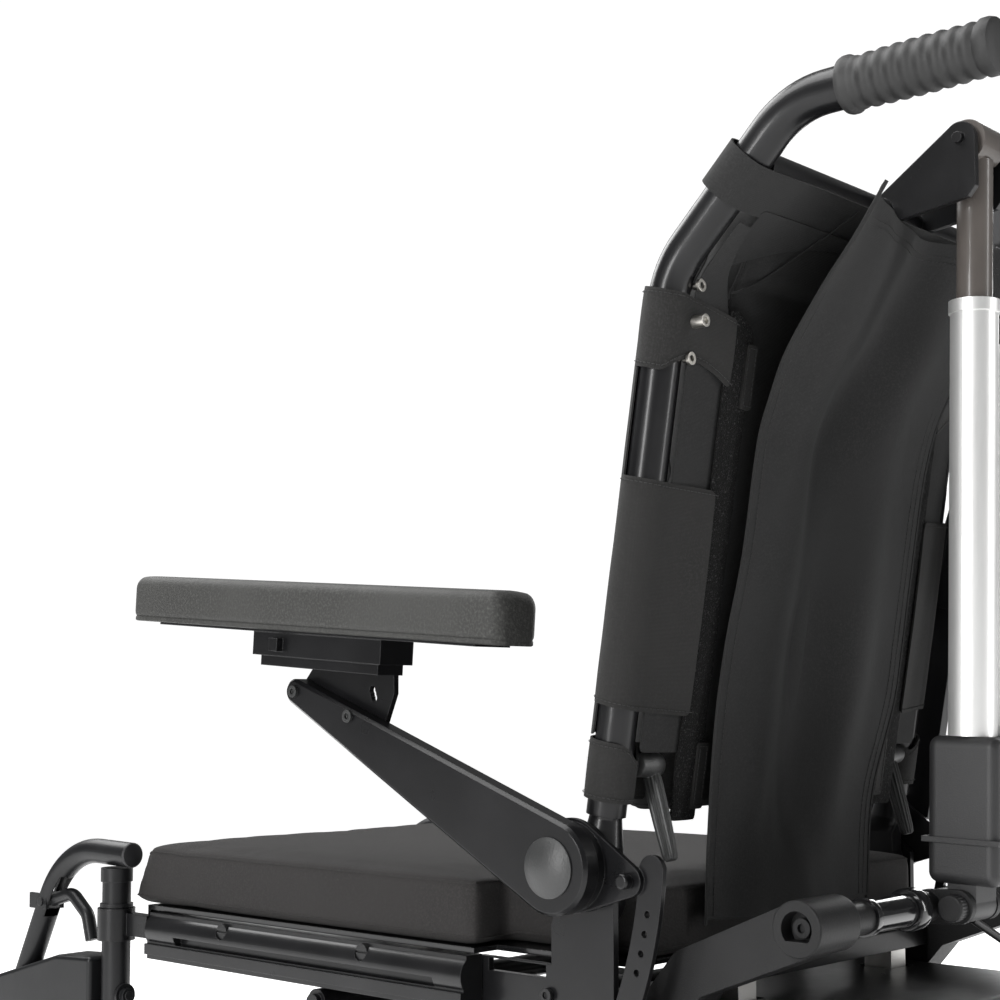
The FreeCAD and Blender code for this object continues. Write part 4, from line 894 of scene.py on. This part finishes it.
def add_upper_cover():
    """The cover's top: a sleeve round both posts' leaning stretch and the cross bar, and its rear skirt."""
    rows = []
    edge = POST_X + 17
    start = STRAIGHT + ARC + 41
    for step in range(15):
        along = start + (COVER_HIGH - start) * step / 14
        row = []
        outline = rounded_outline([(-edge, -17), (edge, -17), (edge, 17), (-edge, 17)], 16.5, 8)
        for p in spaced([Vector((q.x, q.y, 0)) for q in outline], 14, closed=True):
            flat = 1 - min(1, abs(p.x) / 178) ** 6
            sink = 2.0 * flat + wrinkle(p.x, along * 2, 1.0) * flat
            row.append(behind(p.x, along, p.y - math.copysign(sink, p.y)))
        rows.append(row)
    sleeve = Form().grid(rows, closed=True)
    sheet = cloth_piece(sleeve, "upper_cover_sleeve", "fabric_black", 1.4)
    rows = []
    for step in range(25):
        share = step / 24
        row = []
        for index in range(33):
            x = -172 + 344 * index / 32
            shape = abs(x) / 172
            low = start - 2 - 46 * shape ** 2.8
            along = low + (start + 6 - low) * share
            drape = 15.6 + 0.8 * share - 3.0 * (1 - share) + wrinkle(x, along, 1.4)
            row.append(behind(x, along, drape + 6 * (1 - shape) * (1 - share) ** 2))
        rows.append(row)
    skirt = Form().grid(rows)
    sheet = cloth_piece(skirt, "upper_cover_skirt", "fabric_black", 1.4)
    seam = Form()
    for side in (1, -1):
        curve = []
        for step in range(31):
            share = step / 30
            x = side * (150 - 70 * share ** 0.7)
            along = COVER_LOW + 12 + (COVER_HIGH - COVER_LOW - 16) * share
            curve.append(behind(x, along, 17.8 + (0.9 if along > start else 0)))
        seam.tube(curve, 0.7, 6)
    seam.piece("upper_cover_seams", "fabric_black", "backrest")


# ---------------------------------------------------------------- rear flap
FLAP_LEFT = [(490, 131, 35.5), (541, 129, 36), (633, 126, 42), (690, 123, 50), (746, 121, 62.4),
             (832, 120, 77), (858, 120, 86), (890, 120, 100), (932, 120, 130),
             (962, 120, 156), (999, 120, 184)]
FLAP_RIGHT = [(490, -86, 36), (570, -92, 38), (647, -121, 43), (696, -125, 49), (761, -124, 60),
              (833, -120, 75), (880, -118, 92), (932, -118, 128), (962, -118, 154), (999, -118, 182)]
FLAP_VALLEY = [(490, -0.16, 1), (570, -0.06, 1), (640, 0.03, 1), (690, 0.1, 1), (750, 0.1, 1), (800, 0.12, 1),
               (850, 0.14, 1), (900, -0.02, 1), (960, -0.15, 1), (999, -0.2, 0.6)]
CREASE_DEPTH, LEFT_RIDGE, RIGHT_RIDGE = 15, 10, 9


def curve_at(rows, height):
    """Two values of a smooth curve through (height, value, value) rows."""
    for index, (low, high) in enumerate(zip(rows, rows[1:])):
        if height <= high[0] or high is rows[-1]:
            span = high[0] - low[0]
            t = max(-0.1, min(1.0, (height - low[0]) / span))
            before, after = rows[max(index - 1, 0)], rows[min(index + 2, len(rows) - 1)]
            found = []
            for column in (1, 2):
                enter = (high[column] - before[column]) / (high[0] - before[0]) * span
                leave = (after[column] - low[column]) / (after[0] - low[0]) * span
                found.append((2 * t ** 3 - 3 * t ** 2 + 1) * low[column] + (t ** 3 - 2 * t ** 2 + t) * enter
                             + (3 * t ** 2 - 2 * t ** 3) * high[column] + (t ** 3 - t ** 2) * leave)
            return found


def flap_point(across, height):
    """The flap's surface: across runs from -1 on the right to 1 on the left."""
    left_x, left_y = curve_at(FLAP_LEFT, height)
    right_x, right_y = curve_at(FLAP_RIGHT, height)
    share = (across + 1) / 2
    x = right_x + (left_x - right_x) * share
    y = right_y + (left_y - right_y) * share
    valley, depth = curve_at(FLAP_VALLEY, height)
    limb = eased(height, 500, 590) * depth
    flat = 1 - across ** 4
    crease = -CREASE_DEPTH * math.exp(-((across - valley) / 0.26) ** 2)
    ridges = LEFT_RIDGE * math.exp(-((across - 0.6) / 0.22) ** 2)
    ridges = ridges + RIGHT_RIDGE * math.exp(-((across + 0.38) / 0.24) ** 2)
    tuck = 34 * flat * (max(0.0, height - 905) / 90) ** 1.2
    folds = 2.2 * noise.noise(Vector((across * 2.4 + height * 0.006, height * 0.006, 4.0)))
    fine = 0.7 * noise.noise(Vector((across * 7 - height * 0.02, height * 0.02, 9.0)))
    y += (crease + ridges) * limb * flat - tuck + (folds + fine) * min(1.0, 0.3 + flat)
    return Vector((x, min(y, 150) if abs(x) < 34 else y, height))


def flap_top(across):
    return 988 + 8 * across ** 2


def add_flap():
    form = Form()
    rows = []
    count = 44
    for level in range(count + 1):
        row = []
        for index in range(29):
            across = -1 + 2 * index / 28
            low = 491 - 4 * math.cos(across * 2.2)
            row.append(flap_point(across, low + (flap_top(across) - low) * level / count))
        rows.append(row)
    form.grid(rows)
    flap = cloth_piece(form, "rear_flap", "fabric_black", 1.6, None)
    hem = Form()
    for across in (-1, 1):
        edge = [flap_point(across * 0.995, 489 + (flap_top(across) - 490) * i / 60) for i in range(61)]
        hem.tube([p + Vector((0, 0.4, 0)) for p in edge], 1.5, 6)
    low_edge = [flap_point(-1 + 2 * i / 40, 491.5 - 4 * math.cos((-1 + 2 * i / 40) * 2.2)) for i in range(41)]
    hem.tube(low_edge, 1.5, 6)
    hem_piece = hem.piece("rear_flap_hem", "fabric_black", None)
    thread = Form()
    lift = Vector((0, 1.1, 0))
    for across in (-0.93, -0.87, 0.93):
        span = flap_top(across) - 501
        line = [flap_point(across, 496 + span * i / 90) + lift for i in range(91)]
        thread.stitches(line, 3.6, 2.4, 0.36)
    for height_gap in (6, 10):
        height = flap_top(0) - 3 - height_gap
        line = [flap_point(-1 + 2 * i / 60, height) + lift for i in range(61)]
        thread.stitches(line, 3.6, 2.4, 0.36)
    thread_piece = thread.piece("rear_flap_thread", "strap_fabric", None, finish=THREAD)
    for thing in (flap, hem_piece, thread_piece):
        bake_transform(thing)
    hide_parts("back_flap")


# ---------------------------------------------------------------- armrests
PAD_INNER, PAD_OUTER, PAD_THICK, PAD_LENGTH = 211.5, 258, 38.5, 427


def pad_section(width, thick, edge):
    """The pad's cross-section: a crowned top, rounded shoulders and a small flange at the foot."""
    half = width / 2
    foot = [(3, 0.4), (0.8, 1.2), (0.8, 3.6), (1.8, 4.8), (0.4, 6.5), (0, 9)]
    points = [(-half + inset, z) for inset, z in foot]
    for step in range(7):
        turn = math.radians(180 - 15 * step)
        points.append((-half + edge + edge * math.cos(turn), thick - edge + edge * math.sin(turn)))
    points += [(-half + edge + 6, thick + 0.5), (0, thick + 0.8)]
    mirror = [(-x, z) for x, z in points[:-1]][::-1]
    return points + mirror


def add_arm_pads():
    for name, side in SIDES.items():
        middle = (PAD_INNER + PAD_OUTER) / 2
        width = PAD_OUTER - PAD_INNER
        rows = []
        for reach, shrink in end_rounding(0, PAD_LENGTH, 11):
            section = pad_section(width, PAD_THICK, 9.5)
            row = []
            for x, z in section:
                keep = 1 - shrink / (width / 2)
                lift = shrink if z > PAD_THICK / 2 else shrink * 0.1
                row.append(Vector((middle + x * keep, -reach, max(0.4, z - lift * (z / PAD_THICK)))))
            rows.append(row)
        form = Form().grid(rows, closed=True, caps=True)
        tilt = Matrix.Rotation(PAD_TILT, 3, "X")
        form.moved(lambda p: tilt @ p + Vector((0, PAD_REAR, PAD_LOW)))
        if side < 0:
            form.moved(raised)
        pad = form.mirrored(side).piece("arm_pad_skin_" + name, "pad_grey", None, 50)
        fair_normals(pad)
        smooth(pad.data, 50)
        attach(pad, "armrest_" + name)
        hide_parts("arm_pad_" + name)


def end_rounding(start, end, radius):
    """(distance, shrink) stations along a piece whose ends are rounded."""
    stations = []
    for step in range(7):
        turn = math.radians(90 * step / 6)
        stations.append((start + radius * (1 - math.sin(turn)), radius * (1 - math.cos(turn))))
    stations.sort()
    straight = [(start + radius + (end - start - 2 * radius) * i / 8, 0) for i in range(1, 8)]
    mirrored = [(start + end - reach, shrink) for reach, shrink in stations][::-1]
    return stations + straight + mirrored


# ---------------------------------------------------------------- levers, knobs and grips
def add_clamp_levers():
    for name, side in SIDES.items():
        form = Form()
        hub = [(5.6, 0), (7.6, 0.8), (8.4, 3), (8.4, 9), (9.2, 11), (9.2, 20), (8.6, 23.5),
               (7.4, 25), (5.2, 25.2), (5.0, 23.2), (2.8, 23.0), (2.6, 24.6), (0.6, 24.6)]
        hub = [(r, 25.5 - d) for r, d in hub]
        form.lathe(hub[::-1], (154, 12, 602), (1, 0, 0), 36)
        axis = Vector((0, 18, -62))
        start = Vector((163, 12, 599))
        handle = [(5.6, 0), (6.6, 4), (6.9, 9), (7.0, 14), (6.9, 26), (6.6, 40), (6.1, 52),
                  (5.7, 61), (5.0, 64.4), (3.4, 65.6)]
        form.lathe(handle, start, axis, 56, 14, 0.9)
        lever = form.mirrored(side).piece("clamp_handle_" + name, "lever_grey", "clamp_" + name, 40)
        fair_normals(lever)
        smooth(lever.data, 40)
        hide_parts("clamp_lever_" + name)
        bolt = Form().lathe([(4.4, 0), (4.4, 1.6), (3.8, 2.2), (2.2, 2.2), (2.0, 0.6), (0.4, 0.6)],
                            (153.2, 12, 602), (-1, 0, 0), 24)
        bolt.mirrored(side).piece("clamp_bolt_" + name, "steel", "clamp_" + name)


def add_push_grips():
    stand_in = None
    for name, side in SIDES.items():
        profile = [(14.3, 0), (18.0, 0.3), (18.6, 2), (18.6, 5), (17.2, 7.5)]
        for step in range(60):
            reach = 9 + 84 * step / 59
            profile.append((16.3 + 0.7 * math.cos(step * 0.9) + 0.7 * math.sin(math.pi * step / 59), reach))
        profile += [(17.6, 96), (17.6, 100), (16.6, 103), (14, 104), (6, 104.4), (1, 104.4)]
        grip = Form().lathe(profile, (side * POST_X, 196, 1036), (0, 1, 0), 48)
        thing = grip.piece("hand_grip_" + name, "grip_rubber", "backrest", 50)
        fair_normals(thing)
        smooth(thing.data, 50)
        stand_in = stand_in or thing
    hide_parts("push_grips")


def add_pivot_knob():
    form = Form()
    knob = [(6, 0), (9.4, 0.4), (9.9, 1.6), (9.9, 8.2), (9.2, 9.6), (6.4, 10), (6, 8.6), (0.6, 8.6)]
    form.lathe(knob, (22.4, 172, 503), (1, 0, 0), 72, 24, 0.7)
    knob = form.piece("pivot_knob_knurl", "joystick_black", "root", 30)
    fair_normals(knob)
    collars = Form()
    for side in (1, -1):
        collars.lathe([(11.2, 0), (14.6, 0.4), (15, 2), (15, 12), (14.2, 13.4), (11.2, 13.6)],
                      (side * 40, 149, 502), (side, 0, 0), 40)
        collars.lathe([(11.2, 0), (13.2, 0.3), (13.4, 3), (13.2, 5.6), (11.2, 6)],
                      (side * 104, 149, 502), (side, 0, 0), 40)
    fair_normals(collars.piece("cross_tube_collars", "gloss_black", "root"))
    sleeve = Form()
    for side in (1, -1):
        sleeve.lathe([(11.05, 0), (11.35, 0.2), (11.35, 45), (11.05, 45.2)],
                     (side * 56, 149, 502), (side, 0, 0), 40)
    fair_normals(sleeve.piece("cross_tube_sleeves", "gloss_black", "root"))


# ---------------------------------------------------------------- wheels
TYRE_RADIUS, TYRE_MIDDLE, TYRE_HALF, AXLE = 170, 280, 29.6, (45, 170)
LUGS, LUG_TURN, LUG_SWEEP = 34, 0.052, 0.085


def turned_x(x, radius, turn, centre):
    """A point on a wheel: across its width, out from its axle and round it."""
    return Vector((x, centre[0] + radius * math.cos(turn), centre[1] + radius * math.sin(turn)))


def crown(across):
    """The tyre's radius across its width, -1 to 1."""
    return TYRE_RADIUS - 4.2 - 9.5 * abs(across) ** 2.6


def add_tyres():
    profile = [(119, -0.84), (124, -0.93), (132, -0.99), (143, -1.0), (151, -0.97)]
    profile += [(crown(a / 10), a / 10 * 0.94) for a in range(-10, 11)]
    profile += [(151, 0.97), (143, 1.0), (132, 0.99), (124, 0.93), (119, 0.84)]
    for name, side in SIDES.items():
        form = Form()
        form.lathe([(r, a * TYRE_HALF) for r, a in profile], (TYRE_MIDDLE, *AXLE), (1, 0, 0), 120)
        for lug in range(LUGS):
            for half in (-1, 1):
                base = 2 * math.pi * (lug + (0.5 if half > 0 else 0)) / LUGS
                rows = []
                for reach in (0.06, 0.4, 0.74, 0.96):
                    swing = base + LUG_SWEEP * reach
                    x = TYRE_MIDDLE + half * reach * TYRE_HALF * 0.94
                    low, high = crown(reach) - 2, crown(reach) + 4.0 - 0.5 * reach
                    corners = ((low, -LUG_TURN), (high, -LUG_TURN * 0.8),
                               (high, LUG_TURN * 0.8), (low, LUG_TURN))
                    rows.append([turned_x(x, radius, swing + turn, AXLE) for radius, turn in corners])
                form.grid(rows, closed=True, caps=True)
        for radius in (134, 139):
            ring = [turned_x(TYRE_MIDDLE + 29.4, radius, 2 * math.pi * i / 96, AXLE) for i in range(97)]
            form.tube(ring, 0.8, 5)
        tyre = form.mirrored(side).piece("drive_tread_" + name, "tyre_black", "drive_wheel_" + name)
        fair_normals(tyre)
        smooth(tyre.data, 35)
        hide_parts("drive_tyre_" + name)


def add_hubs():
    for name, side in SIDES.items():
        cap = Form().lathe([(31, -4), (31, 0), (29.5, 2), (20, 3), (12, 3.4), (1, 3.6)],
                           (305.2, *AXLE), (1, 0, 0), 48)
        for step in range(5):
            turn = 2 * math.pi * (step + 0.5) / 5
            cap.lathe([(4.4, -1), (4.4, 2.2), (3.8, 2.8), (0.5, 2.8)],
                      turned_x(305.4, 38, turn, AXLE), (1, 0, 0), 6)
        fair_normals(cap.mirrored(side).piece("hub_cap_" + name, "steel", "drive_wheel_" + name))
        hub = Form()
        low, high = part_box("caster_wheel_" + name)
        centre = ((low.y + high.y) / 2 / MM - DATUM_Y, (low.z + high.z) / 2 / MM)
        for face in (-1, 1):
            x = abs(low.x + high.x) / 2 / MM + face * 21.6
            hub.lathe([(9, 0), (16, 1.6), (22, 1.8), (28, 0.4), (52, 0.2), (58, 1.8), (61, 1.6), (62, -0.6)],
                      (x, *centre), (face, 0, 0), 64)
            for step in range(7):
                turn = 2 * math.pi * step / 7
                spoke = [turned_x(x + face * 0.9, r, turn, centre) for r in (18, 30, 44, 58)]
                hub.tube(spoke, 2.6, 6)
        fair_normals(hub.mirrored(side).piece("caster_hub_" + name, "rim_grey", "caster_roller_" + name))


# ---------------------------------------------------------------- covers and control
def add_cover_details():
    form = Form()
    low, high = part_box("rear_cover")
    x, front, rear = high.x / MM, low.y / MM - DATUM_Y, high.y / MM - DATUM_Y
    base, top = low.z / MM, high.z / MM
    for level in (top - 34, base + 20):
        loop = [Vector((px, py, level)) for px, py in ((-x + 12, rear + 0.3), (x - 12, rear + 0.3))]
        form.tube(spaced(loop, 8), 1.2, 6)
        for side in (1, -1):
            run = [Vector((side * (x + 0.3), py, level)) for py in (front + 12, rear - 12)]
            form.tube(spaced(run, 8), 1.2, 6)
    for slat in range(7):
        level = base + 60 + slat * 13
        rows = [[Vector((px, rear - 0.4, level)), Vector((px, rear + 2.6, level + 2)),
                 Vector((px, rear + 2.6, level + 4)), Vector((px, rear - 0.4, level + 7))]
                for px in (-84, -82, 0, 82, 84)]
        form.grid(rows, closed=True, caps=True)
    fair_normals(form.piece("rear_cover_trim", "shroud_black", "root"))
    low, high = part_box("battery_cover")
    x, front, rear = high.x / MM, low.y / MM - DATUM_Y, high.y / MM - DATUM_Y
    trim = Form()
    for side in (1, -1):
        for level in (low.z / MM + 26, high.z / MM - 40):
            run = [Vector((side * (x + 0.2), py, level)) for py in (front + 16, rear - 16)]
            trim.tube(spaced(run, 8), 1.3, 6)
    for level in (low.z / MM + 26, high.z / MM - 40):
        trim.tube(spaced([Vector((px, front - 0.2, level)) for px in (-x + 16, x - 16)], 10), 1.3, 6)
    for px in (-110, 110):
        outline = rounded_outline([(px - 16, 210), (px + 16, 210), (px + 16, 250), (px - 16, 250)], 5, 5)
        rows = [[Vector((p.x, front - out, p.y)) for p in outline] for out in (-1, 2.5)]
        trim.grid(rows, closed=True, caps=True)
    fair_normals(trim.piece("battery_cover_trim", "shroud_black", "root"))
    axis = Vector((1, -0.2, 0.6)).normalized()
    side = axis.orthogonal().normalized()
    other = axis.cross(side)
    ring = [Vector((-122, 160, 458)) + (side * math.cos(t) * 9 + other * math.sin(t) * 6)
            for t in (2 * math.pi * i / 32 for i in range(33))]
    Form().tube(ring, 1.2, 6).piece("cable_tie", "cable_black", "root")


STICK_X, STICK_Y, CASE_TOP = -246, -544, 754


def add_joystick_details():
    boot = Form()
    profile = [(19.5, -1.5), (20.5, 0.3), (19, 1.2)]
    for fold in range(4):
        radius = 17.5 - fold * 3
        profile += [(radius, 1.5 + fold * 3.6), (radius - 3.4, 3.0 + fold * 3.6)]
    profile += [(4.6, 16.5), (4.2, 18.5)]
    boot.lathe(profile, (STICK_X, STICK_Y, CASE_TOP), (0, 0, 1), 48)
    boot.moved(raised)
    fair_normals(boot.piece("joystick_boot", "grip_rubber", "armrest_right", 60))
    keys = Form()
    for dx in (-17, 0, 17):
        keys.lathe([(5.2, -1), (5.2, 1.2), (4.6, 1.8), (0.5, 2.0)],
                   (STICK_X + dx, -508, CASE_TOP), (0, 0, 1), 28)
    for step in range(5):
        keys.lathe([(1.7, -1), (1.7, 0.5), (0.4, 0.7)],
                   (STICK_X - 12 + 6 * step, -497, CASE_TOP), (0, 0, 1), 12)
    keys.moved(raised)
    fair_normals(keys.piece("joystick_keys", "rim_grey", "armrest_right"))


def add_hanger_caps():
    """Domed plugs in the rear ends of the footrest hangers' top tubes."""
    for name, side in SIDES.items():
        cap = Form().lathe([(10.9, -1), (11, 0.6), (10, 1.8), (6, 2.7), (0.6, 3)],
                           (225, -512.5, 511), (0, 1, 0), 36)
        plug = cap.mirrored(side).piece("hanger_cap_" + name, "joystick_black", "legrest_" + name)
        fair_normals(plug)


def build_all():
    add_camera()
    add_studio()
    add_floor()
    paint_cad_nodes()
    add_seat_cushion()
    add_back_cushion()
    add_front_panels()
    add_side_panels()
    add_straps()
    add_upper_cover()
    add_flap()
    add_arm_pads()
    add_clamp_levers()
    add_push_grips()
    add_pivot_knob()
    add_tyres()
    add_hubs()
    add_cover_details()
    add_joystick_details()
    add_hanger_caps()


build_all()
